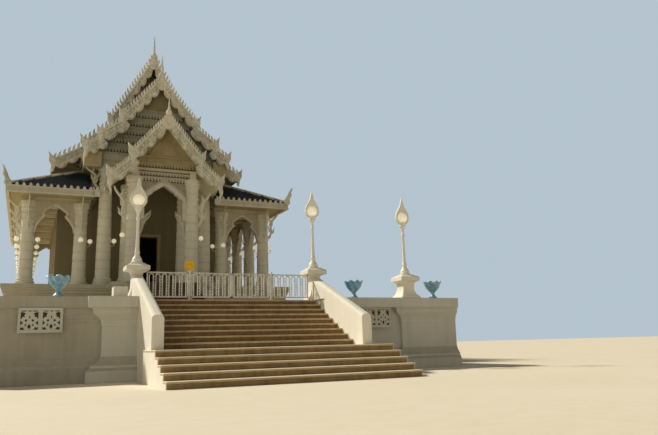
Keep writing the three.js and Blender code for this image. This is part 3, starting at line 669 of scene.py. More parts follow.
slabs.append(blockShape(-half, half, end - 0.045, end + 0.001, terraceTop - 0.05, terraceTop - 0.0005))
makePiece("upper_risers", bodies, riserStone, "step_stone", ["upper_stair"])
makePiece("upper_treads", slabs, treadStone, "step_stone", bevel=0.012)

print("cheek walls and newels")
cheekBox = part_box("right_cheek_wall")
cheek = {
    "inner": 2.71, "outer": 3.01, "frontTop": 1.64, "rearTop": 3.04,
    "capBottom": 3.11, "capTop": 3.33, "newelHalf": 0.27, "capHalf": 0.34,
    "coping": 0.16,           # the rounded top, from its crown down
}
newelX = (cheek["inner"] + cheek["outer"]) / 2
newelY = cheekBox[1][1] - cheek["capHalf"]


# A straight wall with a rounded top that climbs beside the steps.
def cheekShapes():
    front, rear = cheekBox[0][1], newelY - cheek["newelHalf"] * 0.5
    low, high = cheek["frontTop"], cheek["rearTop"]
    half, deep = (cheek["outer"] - cheek["inner"]) / 2, cheek["coping"]
    section = [(-half, -deep)]
    for i in range(9):
        angle = math.pi * (1 - i / 8)
        section.append((half * math.cos(angle), -0.10 + 0.10 * min(math.sin(angle) * 1.15, 1)))
    section.append((half, -deep))
    coping = [(newelX + u, y, z + v) for y, z in ((front, low), (rear, high)) for u, v in section]
    start, under = upperBox[0][1], deep - 0.005
    wall = prismShape([
        (front, landingZ), (start, landingZ), (start, 0), (coreFrontY, 0), (coreFrontY, terraceTop),
        (rear, terraceTop), (rear, high - under), (front, low - under)],
        cheek["inner"], cheek["outer"], "side")
    return [(coping, tubeFaces(2, len(section))), wall]


# Shares of the half width, with heights above the terrace in the foot and else above the cap's underside.
newelFoot = [(1, 0), (1, 0.07), (0.92, 0.1), (0.76, 0.18), (0.63, 0.28), (0.57, 0.38)]
newelNeck = [(0.55, -0.25), (0.58, -0.13), (0.68, -0.06), (0.82, -0.02)]
newelCap = [(0.88, -0.01), (0.88, 0), (1, 0.002), (1, 0.12), (0.97, 0.135), (0.66, 0.19), (0.6, 0.19),
            (0.6, cheek["capTop"] - cheek["capBottom"])]
newel = squareLathe([
    *scaled(newelFoot, cheek["newelHalf"], terraceTop),
    *scaled(newelNeck, cheek["newelHalf"], cheek["capBottom"]),
    *scaled(newelCap, cheek["capHalf"], cheek["capBottom"])], newelX, newelY)
makePair("cheek", [*cheekShapes(), newel], whitePlaster, "plaster", "cheek_wall", bevel=0.006, sharp=18)

print("lamps")
lamp = {
    "high": 2.62, "globeRise": 1.94, "globeRadius": 0.175, "ringHalf": 0.25,
    "rim": 0.026, "plate": 0.016,
}
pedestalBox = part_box("lamp_pedestal")
pedestalX = (pedestalBox[0][0] + pedestalBox[1][0]) / 2
pedestalY = (pedestalBox[0][1] + pedestalBox[1][1]) / 2


# Radius and height: the foot's from the ground, and the neck's from the cup under the globe.
lampFoot = [(0, 0), (0.17, 0), (0.17, 0.05), (0.14, 0.08), (0.15, 0.11), (0.12, 0.17), (0.075, 0.24),
            (0.07, 0.3), (0.085, 0.33), (0.07, 0.37), (0.055, 0.45), (0.045, 0.9)]
lampNeck = [(0.042, -0.5), (0.06, -0.46), (0.06, -0.42), (0.04, -0.38), (0.045, -0.28), (0.075, -0.2),
            (0.11, -0.13), (0.09, -0.1), (0.12, -0.05), (0.12, -0.03), (0.09, 0), (0, 0)]


# A flat ring about (x, middle) whose two edges follow the outline at their own share of its reach.
def leafRing(outline, x, y, middle, inner, outer, thick):
    verts, faces, count = [], [], len(outline)
    for depth in (-thick, thick):
        for u, v in outline:
            reach = math.hypot(u, v - middle)
            for size in (inner(reach), outer(reach)):
                verts.append((x + u * size / reach, y + depth, middle + (v - middle) * size / reach))
    base = 2 * count
    for i in range(count):
        a, b, c, d = 2 * i, 2 * i + 1, 2 * ((i + 1) % count) + 1, 2 * ((i + 1) % count)
        faces += [(a, b, c, d), (a + base, d + base, c + base, b + base),
                  (a, d, d + base, a + base), (b, b + base, c + base, c)]
    return verts, faces


def lampShapes(x, y, z):
    middle, half, top = z + lamp["globeRise"], lamp["ringHalf"], z + lamp["high"]
    cup = middle - lamp["globeRadius"] + 0.015
    post = turnedShape(scaled(lampFoot, 1, z) + scaled(lampNeck, 1, cup), x, y)
    right = smoothPath([
        (0.02, cup - 0.06), (half * 0.62, middle - 0.2), (half * 0.93, middle - 0.09),
        (half, middle + 0.03), (half * 0.86, middle + 0.17), (half * 0.55, middle + 0.3),
        (half * 0.27, middle + 0.42), (half * 0.2, top - 0.17), (half * 0.1, top - 0.08), (0.008, top)], 4)
    outline = right + [(-u, v) for u, v in reversed(right)]
    rim, hole = lamp["rim"], lamp["globeRadius"] + 0.004
    plate = leafRing(outline, x, y, middle, lambda reach: hole, lambda reach: reach - rim * 0.5,
                     lamp["plate"])
    edge = leafRing(outline, x, y, middle, lambda reach: reach - rim, lambda reach: reach,
                    lamp["plate"] + 0.012)
    tip = turnedShape([(0, top - 0.3), (0.045, top - 0.27), (0.03, top - 0.2), (0.018, top - 0.1),
                       (0, top)], x, y, 12)
    return [post, plate, edge, tip]


for place, x, y, z in (("left", -newelX, newelY, cheek["capTop"]), ("right", newelX, newelY, cheek["capTop"]),
                       ("terrace", pedestalX, pedestalY, pedestalBox[1][2])):
    makePiece(place + "_lamp_stem", lampShapes(x, y, z), lampPaint, "plaster", [place + "_lamp_post"])
    makePiece(place + "_lamp_ball", [ballShape(x, y, z + lamp["globeRise"], lamp["globeRadius"], 28, 18)],
              opalGlass, "lamp_glass", [place + "_lamp_globe"])
half = (pedestalBox[1][0] - pedestalBox[0][0]) / 2
pedestalProfile = [
    (1, 0), (1, 0.05), (0.9, 0.08), (0.75, 0.14), (0.65, 0.22), (0.6, 0.32), (0.6, 0.44), (0.64, 0.5),
    (0.74, 0.54), (0.88, 0.56), (0.88, 0.57), (1, 0.572), (1, 0.69), (0.97, 0.7), (0.6, 0.765), (0.54, 0.765),
    (0.54, 0.79)]
pedestal = squareLathe(scaled(pedestalProfile, half, terraceTop), pedestalX, pedestalY)
makePiece("terrace_lamp_base", [pedestal], whitePlaster, "plaster", ["lamp_pedestal"], bevel=0.006, sharp=18)

print("pots")
potSetup = {
    "lobes": 8, "lobeDeep": 0.035, "lobeHigh": 0.028, "sides": 64,
    "wide": 0.96, "high": 0.95,       # shares of the node's box
}
potProfile = [
    (0, 0), (0.46, 0), (0.48, 0.05), (0.32, 0.13), (0.19, 0.26), (0.2, 0.34), (0.42, 0.44), (0.76, 0.66),
    (1.0, 1.0), (0.97, 1.02), (0.93, 1.0), (0.84, 0.84), (0, 0.82)]
soilProfile = [(0, 0.82), (0.82, 0.82), (0.8, 0.87), (0, 0.91)]


# The bowl's lobes grow from its waist up, and its lip rises and falls with them.
def potWave(level, angle, radius):
    strength = max(0, level - 5) / 4
    lobe = math.cos(potSetup["lobes"] * angle)
    lift = potSetup["lobeHigh"] * lobe if level in (8, 9, 10) else 0
    return radius * (1 + potSetup["lobeDeep"] * strength * lobe), lift


for name in ("left_pot", "middle_pot", "right_pot"):
    (x0, y0, z0), (x1, y1, z1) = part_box(name)
    r, h = (x1 - x0) / 2 * potSetup["wide"], (z1 - z0) * potSetup["high"]
    x, y = (x0 + x1) / 2, (y0 + y1) / 2
    bowl = turnedShape(scaled(potProfile, r, z0, h), x, y, potSetup["sides"], potWave)
    makePiece(name + "_bowl", [bowl], potGlaze, "pot_glaze", [name], sharp=50)
    makePiece(name + "_soil", [turnedShape(scaled(soilProfile, r, z0, h), x, y)], potSoil, "pot_glaze")

print("railing and gate")
rail = {
    "lift": 0.08, "high": 0.84, "edge": 0.04, "bar": 0.026, "pair": 0.118, "pitch": 0.19,
    "barHalf": 0.014, "frameHalf": 0.02, "postHalf": 0.03, "postHigh": 0.88, "hingeX": 1.24,
    "links": 7, "linkPitch": 0.085,          # the small bars between two arches
}
railBox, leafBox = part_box("right_railing"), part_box("right_gate_leaf")
railY = (railBox[0][1] + railBox[1][1]) / 2


def railShapes(x0, x1):
    low, high = terraceTop + rail["lift"], terraceTop + rail["high"]
    y0, y1 = railY - rail["barHalf"], railY + rail["barHalf"]
    edge, half = rail["edge"], rail["pair"] / 2
    shapes = [blockShape(a, b, railY - rail["frameHalf"], railY + rail["frameHalf"], c, d)
              for a, b, c, d in ((x0, x1, low, low + edge), (x0, x1, high - edge, high),
                                 (x0, x0 + edge, low, high), (x1 - edge, x1, low, high))]
    count = round((x1 - x0 - 2 * edge) / rail["pitch"])
    pitch = (x1 - x0 - 2 * edge) / count
    foot, spring = low + edge - 0.005, high - edge - half - 0.02
    for i in range(count):
        middle = x0 + edge + (i + 0.5) * pitch
        arc = [(middle - half, foot), (middle - half, spring)]
        arc += [(middle - half * math.cos(math.pi * k / 8), spring + half * math.sin(math.pi * k / 8))
                for k in range(1, 8)]
        arc += [(middle + half, spring), (middle + half, foot)]
        shapes.append(bandShape(arc, -rail["bar"] / 2, rail["bar"] / 2, y0, y1))
        for level in range(rail["links"]) if i else ():
            z = low + edge + 0.05 + level * rail["linkPitch"]
            left = middle - pitch / 2
            shapes.append(blockShape(left - 0.014, left + 0.014, y0 + 0.006, y1 - 0.006, z, z + 0.03))
    return shapes


post = []
postX = railBox[0][0] + rail["postHalf"]
for half, z0, z1 in ((rail["postHalf"], 0, rail["postHigh"]),
                     (rail["postHalf"] - 0.001, rail["postHigh"], rail["postHigh"] + 0.02)):
    post.append(blockShape(postX - half, postX + half, railY - half, railY + half, terraceTop + z0,
                           terraceTop + z1))
pivot = turnedShape(scaled([(0, 0.001), (0.015, 0.001), (0.015, 0.09), (0, 0.09)], 1, terraceTop),
                    rail["hingeX"], railY, 12)
makePair("rail", railShapes(postX + rail["postHalf"], railBox[1][0]) + post, silverPaint, "rail_metal",
         "railing", bevel=0.003)
makePair("gate", railShapes(leafBox[0][0], leafBox[1][0]) + [pivot], silverPaint, "rail_metal", "gate_leaf",
         "right_gate", bevel=0.003)
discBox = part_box("gate_disc")
discX, discZ = ((discBox[0][k] + discBox[1][k]) / 2 for k in (0, 2))
disc = turnedShape([
    (0, -0.014), (0.15, -0.014), (0.16, -0.006), (0.16, 0.006), (0.15, 0.014), (0.13, 0.016), (0.12, 0.01),
    (0.05, 0.01), (0.03, 0.018), (0, 0.02)], 0, 0, 48)
makePiece("gold_disc", [facingFront(disc, discX, railY, discZ)], goldPaint, "gilt", ["gate_disc"])

print("terrace walls and vents")
leftFront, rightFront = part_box("terrace_front_left"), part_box("terrace_front_right")
terrace = {
    "proud": 0.06,            # how far the coping and the base stand out
    "setBack": 0.25,          # from the blocks' face to the walls' face
    "endShare": 1.75,         # how much more a block's waist draws in at its end than in front
    "leftBlockOuter": 4.30, "rightBlockInner": 4.95,
    "coping": 0.3, "intoBlock": 0.6,
}
blockSection = [
    (0.06, 0.0), (0.06, 0.30), (0.03, 0.33), (0.0, 0.37), (0.0, 0.44), (-0.04, 0.47), (-0.08, 0.52),
    (-0.12, 0.58), (-0.15, 0.66), (-0.16, 0.74), (-0.16, 1.44), (-0.15, 1.45), (-0.15, 1.54), (-0.14, 1.55),
    (-0.14, 1.60), (-0.10, 1.68), (-0.05, 1.74), (-0.02, 1.80), (-0.02, 1.88), (0.0, 1.89), (0.0, 1.93),
    (0.06, 1.94), (0.06, 2.24),
]
wallSection = [
    (0.06, 0.0), (0.06, 0.40), (0.03, 0.43), (0.0, 0.47), (0.0, 0.60), (-0.05, 0.63), (-0.05, 1.56),
    (-0.035, 1.57), (-0.035, 1.65), (-0.02, 1.66), (-0.02, 1.76), (0.0, 1.77), (0.0, 1.945),
]


# The wall between the blocks, below its coping. It runs on into the block, whose waist draws in.
def frontWall(x0, x1, faceY):
    outline = [(faceY - proud, z) for proud, z in wallSection]
    return prismShape([(coreFrontY, 0), *outline, (coreFrontY, outline[-1][1])], x0, x1, "side")


def copingSlab(x0, x1, faceY):
    return blockShape(x0, x1, faceY - terrace["proud"], coreFrontY, terraceTop - terrace["coping"],
                      terraceTop)


faceY = leftFront[0][1] + terrace["proud"]
backY = faceY + terrace["setBack"]


# A corner block whose waist draws in at the front and, further, at its free end.
def cornerBlock(freeX, innerX):
    away = 1 if freeX > innerX else -1
    plans = []
    for proud, z in blockSection:
        end, front = freeX - away * (terrace["proud"] - proud) * terrace["endShare"], faceY - proud
        plans.append((z, [(end, front), (end, coreFrontY), (innerX, coreFrontY), (innerX, front)]))
    return lofted(plans)


leftX, rightX, into = -terrace["leftBlockOuter"], terrace["rightBlockInner"], terrace["intoBlock"]
# The left wall is in the darker terrace plaster, painted shade of the trees; the right wall and the corner
# blocks are in the paler block plaster, painted light.
makePiece("terrace_wall_left", [
    frontWall(leftFront[0][0], leftX + into, backY), copingSlab(leftFront[0][0], leftX, backY)],
    terracePlaster, "plaster", ["terrace_front_left"], bevel=0.008, sharp=22,
    extra=[([cornerBlock(leftX, leftFront[1][0])], blockPlaster)])
makePiece("terrace_wall_right", [
    frontWall(rightFront[0][0], rightX + into, backY), copingSlab(rightFront[0][0], rightX, faceY),
    cornerBlock(rightX, rightFront[1][0])],
    blockPlaster, "plaster", ["terrace_front_right"], bevel=0.008, sharp=22)
sideBlock = {"left": -3.62, "right": -3.24, "front": at(4.86), "rear": at(5.3), "high": 0.3}
makePiece("newel_side_block", [blockShape(sideBlock["left"], sideBlock["right"], sideBlock["front"],
                                          sideBlock["rear"], terraceTop, terraceTop + sideBlock["high"])],
          whitePlaster, "plaster", bevel=0.01)

# Two pierced panes in a frame. The openings are given from -1 to 1 across and up a pane.
vent = {"frame": 0.06, "sunk": 0.015, "thick": 0.025}
ventHoles = [
    [(0, -0.9), (0.2, -0.62), (0, -0.34), (-0.2, -0.62)],
    [(-0.13, 0.86), (0.13, 0.86), (0.2, 0.95), (-0.2, 0.95)],
    [(0, 0.14), (0.08, 0.28), (0, 0.5), (-0.08, 0.28)],
]
ventSideHoles = [
    [(0.92, 0.8), (0.92, 0.12), (0.8, 0.2), (0.7, 0.36), (0.48, 0.28), (0.56, 0.48), (0.4, 0.66),
     (0.6, 0.78)],
    [(0.92, 0.0), (0.92, -0.5), (0.78, -0.36), (0.62, -0.26), (0.78, -0.14)],
    [(0.2, 0.0), (0.34, -0.16), (0.52, -0.04), (0.36, 0.14)],
    [(0.36, 0.86), (0.86, 0.86), (0.86, 0.95), (0.36, 0.95)],
    [(0.92, -0.92), (0.42, -0.92), (0.56, -0.8), (0.62, -0.66), (0.8, -0.72), (0.92, -0.66)],
    [(0.36, -0.32), (0.5, -0.46), (0.42, -0.6), (0.28, -0.46)],
]
ventHoles += ventSideHoles + [[(-u, v) for u, v in reversed(hole)] for hole in ventSideHoles]


def ventShapes(box):
    (x0, y0, z0), (x1, y1, z1) = box
    edge, middle, z = vent["frame"], (x0 + x1) / 2, (z0 + z1) / 2
    shapes = [blockShape(x0, x1, y0, y1, z0, z0 + edge), blockShape(x0, x1, y0, y1, z1 - edge, z1)]
    for a, b in ((x0, x0 + edge), (middle - edge / 2, middle + edge / 2), (x1 - edge, x1)):
        shapes.append(blockShape(a, b, y0 + 0.002, y1 - 0.002, z0 + edge - 0.005, z1 - edge + 0.005))
    half, high = (x1 - x0) / 4 - edge * 0.7, (z1 - z0) / 2 - edge * 0.95
    pane = [(-1.05, -1.05), (1.05, -1.05), (1.05, 1.05), (-1.05, 1.05)]
    front = y0 + vent["sunk"]
    for x in ((x0 + middle + edge * 0.25) / 2, (x1 + middle - edge * 0.25) / 2):
        outline, *holes = [[(x + u * half, z + v * high) for u, v in loop] for loop in (pane, *ventHoles)]
        shapes.append(piercedShape(outline, holes, front, front + vent["thick"]))
    return shapes


for name in ("vent_panel_left", "vent_panel_right"):
    (x0, y0, z0), (x1, y1, z1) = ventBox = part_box(name)
    back = [blockShape(x0 + 0.02, x1 - 0.02, y1 - 0.012, y1 + 0.002, z0 + 0.02, z1 - 0.02)]
    makePiece(name + "_grille", ventShapes(ventBox), blockPlaster, "plaster", [name],
              extra=[(back, ventShade)])

print("plinth and hall steps")
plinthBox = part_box("hall_plinth")
plinth = {"porchHalf": 2.35, "wingY": at(18.24)}
plinthSection = [             # how far in, and how high
    (0.0, 0.0), (0.0, 0.22), (0.04, 0.25), (0.04, 0.32), (0.10, 0.36), (0.14, 0.44), (0.18, 0.50),
    (0.18, 1.10), (0.14, 1.16), (0.10, 1.20), (0.10, 1.28), (0.04, 1.34), (0.04, 1.40), (0.0, 1.43),
    (0.0, 1.60),
]


def plinthPlan(inset):
    wide, narrow = plinthBox[1][0] - inset, plinth["porchHalf"] - inset
    front, rear, wings = plinthBox[0][1] + inset, plinthBox[1][1] - inset, plinth["wingY"] + inset
    return [(-narrow, front), (narrow, front), (narrow, wings), (wide, wings), (wide, rear), (-wide, rear),
            (-wide, wings), (-narrow, wings)]


makePiece("plinth", [lofted([(terraceTop + z, plinthPlan(inset)) for inset, z in plinthSection])],
          hallPlaster, "plaster", ["hall_plinth"], bevel=0.006)
hallSteps = {"half": 1.5, "wallHalf": 1.78, "tread": 0.3, "count": 9, "slab": 0.04, "nosing": 0.03}
half, end = hallSteps["half"], plinthBox[0][1]
stepBodies, stepSlabs = [], []
stepFoot = end - hallSteps["count"] * hallSteps["tread"]
for i in range(hallSteps["count"]):
    y, top = stepFoot + i * hallSteps["tread"], terraceTop + (i + 1) * stair["riser"]
    under = top - hallSteps["slab"]
    stepBodies.append(blockShape(-half, half, y + hallSteps["nosing"], end, top - stair["riser"], under))
    stepSlabs.append(blockShape(-half, half, y, min(y + hallSteps["tread"] + 0.06, end), under, top))
sideWall = prismShape([
    (end, terraceTop), (end, floorTop), (end - 0.3, floorTop), (stepFoot - 0.2, terraceTop + 0.26),
    (stepFoot - 0.2, terraceTop)], half, hallSteps["wallHalf"], "side")
lastRiser = blockShape(-half, half, end - 0.008, end + 0.01, top - 0.02, floorTop - 0.002)
makePiece("hall_stair", stepBodies + stepSlabs + [lastRiser], shadedStone, "step_stone", ["hall_steps"],
          bevel=0.006, extra=[(bothSides([sideWall]), hallPlaster)])

print("columns and arcades")
columnSetup = {"joint": 0.42, "groove": 0.03, "sides": 28}
# Shares of the radius below and above, with the distance from the floor or from the column's top.
columnFoot = [(1.3, 0), (1.3, 0.11), (1.24, 0.13), (1.3, 0.17), (1.3, 0.23), (1.1, 0.27), (1.16, 0.33),
              (1.14, 0.37), (1.0, 0.42)]
columnHead = [(1.0, 0.98), (1.1, 0.96), (1.1, 0.90), (1.0, 0.88), (1.0, 0.72), (1.12, 0.70), (1.12, 0.63),
              (1.02, 0.61), (1.02, 0.46), (1.16, 0.42), (1.2, 0.36), (1.1, 0.33), (1.14, 0.26), (1.3, 0.2),
              (1.3, 0.0)]


def columnShape(x, y, top, low, high):
    foot, neck = floorTop + columnFoot[-1][1], top - columnHead[0][1]
    profile = [(0, floorTop), *scaled(columnFoot, low, floorTop)]
    for i in range(1, int((neck - foot) / columnSetup["joint"]) + 1):
        level = foot + i * columnSetup["joint"]
        radius = low + (high - low) * (level - foot) / (neck - foot)
        for sink, step in ((0, -0.024), (1, -0.012), (1, 0.012), (0, 0.024)):
            profile.append((radius - sink * columnSetup["groove"], level + step))
    profile += [*scaled(columnHead, high, top, -1), (0, top)]
    return turnedShape(profile, x, y, columnSetup["sides"])


# One side of an arch's outline, as shares of its half width and of its rise.
wingSide = [
    (1.0, 0.0), (0.97, 0.09), (0.93, 0.20), (0.87, 0.29), (0.79, 0.35), (0.73, 0.43), (0.64, 0.49),
    (0.56, 0.55), (0.51, 0.61), (0.57, 0.65), (0.60, 0.70), (0.54, 0.76), (0.42, 0.82), (0.28, 0.885),
    (0.12, 0.95)]
porchSide = [
    (1.0, 0.0), (1.0, 0.50), (0.98, 0.56), (0.90, 0.60), (0.82, 0.61), (0.79, 0.67), (0.68, 0.71),
    (0.60, 0.73), (0.56, 0.79), (0.42, 0.84), (0.2, 0.925), (0.05, 0.98)]
arch = {"bottom": 6.42, "spring": 6.48, "peak": 7.8, "half": 0.86, "wallHalf": 0.08, "band": 0.09,
        "proud": 0.04}
porchArch = {"bottom": 6.9, "spring": 7.0, "peak": 8.6, "half": 0.92, "wallHalf": 0.08, "band": 0.19,
             "proud": 0.06}
rims = []                     # the pale edges of the arches so far


def archPath(side, middle, size):
    half, rise = size["half"], size["peak"] - size["spring"]
    right = [(middle + u * half, size["spring"] + v * rise) for u, v in side]
    left = [(2 * middle - u, z) for u, z in reversed(right)]
    return [(middle + half, size["bottom"]), *right, (middle, size["peak"]), *left,
            (middle - half, size["bottom"])]


# A pierced wall panel between u0 and u1 with a raised line beside its opening.
def archShapes(u0, u1, middle, where, top, plane, side=wingSide, size=arch):
    path = archPath(side, middle, size)
    bottom, thick, band = size["bottom"], size["wallHalf"], size["band"]
    deep = thick + size["proud"]
    rims.append(bandShape(path, 0.004, -band, where - deep, where + deep, plane))
    return [prismShape([(u0, bottom), (u0, top), (u1, top), (u1, bottom), *path], where - thick,
                       where + thick, plane),
            bandShape(path, -band - 0.06, -band - 0.1, where - thick - 0.014, where + thick + 0.014, plane)]


columnTop = ceilingUnder - 0.22
wing = {
    "inner": 3.54, "low": 0.33, "high": 0.29,     # the inner column's x, and the columns' radius
    "beamHalf": 0.1, "beamStart": 0.4, "beamEnd": 0.28, "cornerGap": 0.39,
    "crossHalf": 0.06, "crossDeep": 0.16,         # the beams under the ceiling
}


def wingColumn(x, y):
    return columnShape(x, y, columnTop, wing["low"], wing["high"])


# The beam over a row of columns, with a thin moulding at its foot and one at its top.
def beamShapes(u0, u1, where, plane="front"):
    shapes = []
    for bottom, top, proud in ((columnTop, ceilingUnder, 0), (columnTop, columnTop + 0.05, 0.03),
                               (ceilingUnder - 0.06, ceilingUnder - 0.001, 0.05)):
        half = wing["beamHalf"] + proud
        shapes.append(prismShape([(u0, bottom), (u1, bottom), (u1, top), (u0, top)], where - half,
                                 where + half, plane))
    return shapes


wingColumns = [wingColumn(x, wingY) for x in (wing["inner"], sideX)]
wingShapes = archShapes(wing["inner"], sideX, (wing["inner"] + sideX) / 2, wingY, columnTop, "front")
wingShapes += beamShapes(wing["inner"] - wing["beamStart"], sideX + wing["beamEnd"], wingY)
makePair("wing", wingShapes, hallPlaster, "plaster", "wing_arcade", extra=[(wingColumns, columnPlaster)])

bays = 6
bay = (rearRowY - wingY) / bays
sideShapes = beamShapes(wingY + wing["beamHalf"], rearRowY - wing["beamHalf"], sideX, "side")
sideColumns = []
for k in range(bays):
    start, gap = wingY + k * bay, wing["cornerGap"]
    sideShapes += archShapes(start + (gap if k == 0 else 0), start + bay - (gap if k == bays - 1 else 0),
                             start + bay / 2, sideX, columnTop, "side")
    if k:
        sideColumns.append(wingColumn(sideX, start))
makePair("side_row", sideShapes, hallPlaster, "plaster", "side_arcade", extra=[(sideColumns, columnPlaster)])

sideRims, rims = rims, []
rearPlaces = [-sideX, -wing["inner"], -wing["inner"] / 3, wing["inner"] / 3, wing["inner"], sideX]
rearColumns = [wingColumn(x, rearRowY) for x in rearPlaces]
rearShapes = []
for a, b in zip(rearPlaces, rearPlaces[1:]):
    rearShapes += archShapes(a, b, (a + b) / 2, rearRowY, columnTop, "front")
rearShapes += beamShapes(-sideX - wing["beamEnd"], sideX + wing["beamEnd"], rearRowY)
makePiece("rear_row", rearShapes, hallPlaster, "plaster", ["rear_arcade"],
          extra=[(rearColumns, columnPlaster)])
makePiece("arch_rims", rims + bothSides(sideRims), tileCap, "plaster")

# Beams under the gallery ceilings, across each bay.
crossBeams = []
for k in range(2 * bays):
    y = wingY + (k + 0.5) * bay / 2
    crossBeams.append(blockShape(cellaX, sideX - wing["beamHalf"], y - wing["crossHalf"],
                                 y + wing["crossHalf"], ceilingUnder - wing["crossDeep"], ceilingUnder))
makePiece("gallery_beams", bothSides(crossBeams), beamPaint, "plaster", bevel=0.006)

print("brackets and globe lights")
bracket = {
    "stem": 0.05, "drop": 1.25,          # half the stem's thickness, and its foot under the column's top
    "path": [(0.0, 0.0), (0.09, 0.12), (0.19, 0.32), (0.17, 0.56), (0.13, 0.76), (0.2, 0.98), (0.36, 1.18),
             (0.48, 1.36), (0.52, 1.5)],
    "flame": [(0, -0.03), (0.10, 0.02), (0.14, 0.12), (0.15, 0.22), (0.23, 0.34)],
}


# A slim bracket that curls out from a column to the eave, with flames along both edges.
def bracketShapes(high, reach, outer, inner, stout):
    path = [(u * reach, v * high) for u, v in smoothPath(bracket["path"], 4)]
    count, thickness = len(path), bracket["stem"] * stout
    radii = [thickness * (0.5 + 0.6 * math.sin(math.pi * (i + 2) / (count + 3))) for i in range(count)]
    shapes = [hornShape(path, radii, 0, 6, 0.6)]
    for flames, side, first in ((outer, 1, 0.06), (inner, -1, 0.3)):
        for k in range(flames):
            u, v = path[int(count * (first + 0.62 * k / flames))]
            size = (0.75 + 0.25 * stout) * (1 - 0.1 * k)
            flame = [(u + du * size * side, v + dv * size) for du, dv in bracket["flame"]]
            shapes.append(curlShape(flame, 3, 0.06 * stout, 0.05, 0, swell=0.15))
    foot = [(0.0, 0.0), (-0.02, -0.08), (0.05, -0.13), (0.09, -0.07)]
    return [*shapes, curlShape(foot, 3, 0.03, 0.3, 0, flat=0.6)]


def standing(shapes, x, y, z, turn):
    matrix = Matrix.Translation((x, y, z)) @ Matrix.Rotation(math.radians(turn), 4, "Z")
    return [moved(shape, matrix) for shape in shapes]


stem = bracketShapes(0.97, 1.2, 3, 2, 1.1)
reach, stemFoot = wing["high"] + 0.01, columnTop - bracket["drop"]
places = []
for x in (wing["inner"], sideX):
    places += [(x, wingY - reach, -90), (x, rearRowY + reach, 90)]
places.append((wing["inner"] / 3, rearRowY + reach, 90))
places += [(sideX + reach, wingY + k * bay, 0) for k in range(bays + 1)]
eaveBrackets = [shape for x, y, turn in places for shape in standing(stem, x, y, stemFoot, turn)]
makePiece("eave_brackets", bothSides(eaveBrackets), carvedPlaster, "plaster")

globeLight = {"radius": 0.12, "level": 6.1, "arm": 0.16, "wingColumn": 0.3, "porchColumn": 0.32}
lights, arms = [], []


# A small globe on an arm, on the side of a column that the turn points to.
def columnLight(x, y, turn, radius):
    c, s = math.cos(math.radians(turn)), math.sin(math.radians(turn))
    reach = radius + globeLight["arm"]
    gx, gy, gz = x + c * reach, y + s * reach, globeLight["level"]
    lights.append(ballShape(gx, gy, gz, globeLight["radius"], 20, 12))
    arm = smoothPath([(radius - 0.02, -0.26), (reach * 0.75, -0.28), (reach, -0.2), (reach, -0.1)], 3)
    arms.extend(standing([hornShape(arm, [0.014] * len(arm), 0, 6, 1)], x, y, gz, turn))
    arms.append(turnedShape([(0, gz - 0.15), (0.05, gz - 0.13), (0.06, gz - 0.1), (0, gz - 0.1)], gx, gy, 16))


for side in (-1, 1):
    outward, inward = 90 - 90 * side, 90 + 90 * side
    places = [(sideX, wingY, outward), (sideX, wingY, inward), (wing["inner"], wingY, -90),
              (wing["inner"], wingY, inward), (portalX, portalY, inward), (porchX, porchY, outward)]
    for k in range(1, bays + 1):
        places += [(sideX, wingY + k * bay, outward), (sideX, wingY + k * bay, inward)]
    for x, y, turn in places:
        columnLight(side * x, y, turn, globeLight["porchColumn" if x < wing["inner"] else "wingColumn"])
makePiece("column_globes", lights, opalGlass, "lamp_glass")
makePiece("globe_arms", arms, whitePlaster, "plaster")

print("porch and portico")
porch = {
    "low": 0.35, "high": 0.30, "beamBottom": 8.95, "beamTop": 9.40, "beamHalf": 0.15, "bracketFoot": 6.75,
    "ledges": ((8.93, 0.17), (9.16, 0.11)),      # the height of each, and the length of its leaves
    "crownFrom": 7.9, "crownLeaf": 0.13, "leafPitch": 0.15,
}


# Hanging leaves side by side under a ledge.
def dentilRow(u0, u1, y, z, size, pitch):
    count = max(round((u1 - u0) / pitch), 1)
    step = (u1 - u0) / count
    half, low, shapes = step * 0.36, z - size * 0.55, []
    for k in range(count):
        u = u0 + (k + 0.5) * step
        shapes.append(prismShape([(u - half, z), (u - half, low), (u, z - size), (u + half, low),
                                  (u + half, z)], y - 0.05, y + 0.01))
    return shapes


bottom, top = porch["beamBottom"], porch["beamTop"]
beamX0, beamX1 = porchX - porch["beamHalf"], porchX + porch["beamHalf"]
beamY0, beamY1 = porchY - 0.24, portalY + 0.2
porchShapes = [columnShape(porchX, y, bottom + 0.001, porch["low"], porch["high"]) for y in (porchY, portalY)]
porchShapes += [
    blockShape(beamX0, beamX1, beamY0, beamY1, bottom, top),
    blockShape(beamX0 - 0.04, beamX1 + 0.04, beamY0 - 0.04, beamY1, bottom + 0.02, bottom + 0.08),
    blockShape(beamX0 - 0.03, beamX1 + 0.05, beamY0 - 0.06, beamY1, top - 0.1, top - 0.02)]
porchBracket = bracketShapes(1.12, 1.15, 3, 3, 1.3)
porchShapes += standing(porchBracket, porchX + porch["high"], porchY, porch["bracketFoot"], 0)
makePair("porch_side", porchShapes, columnPlaster, "plaster", "porch_columns")

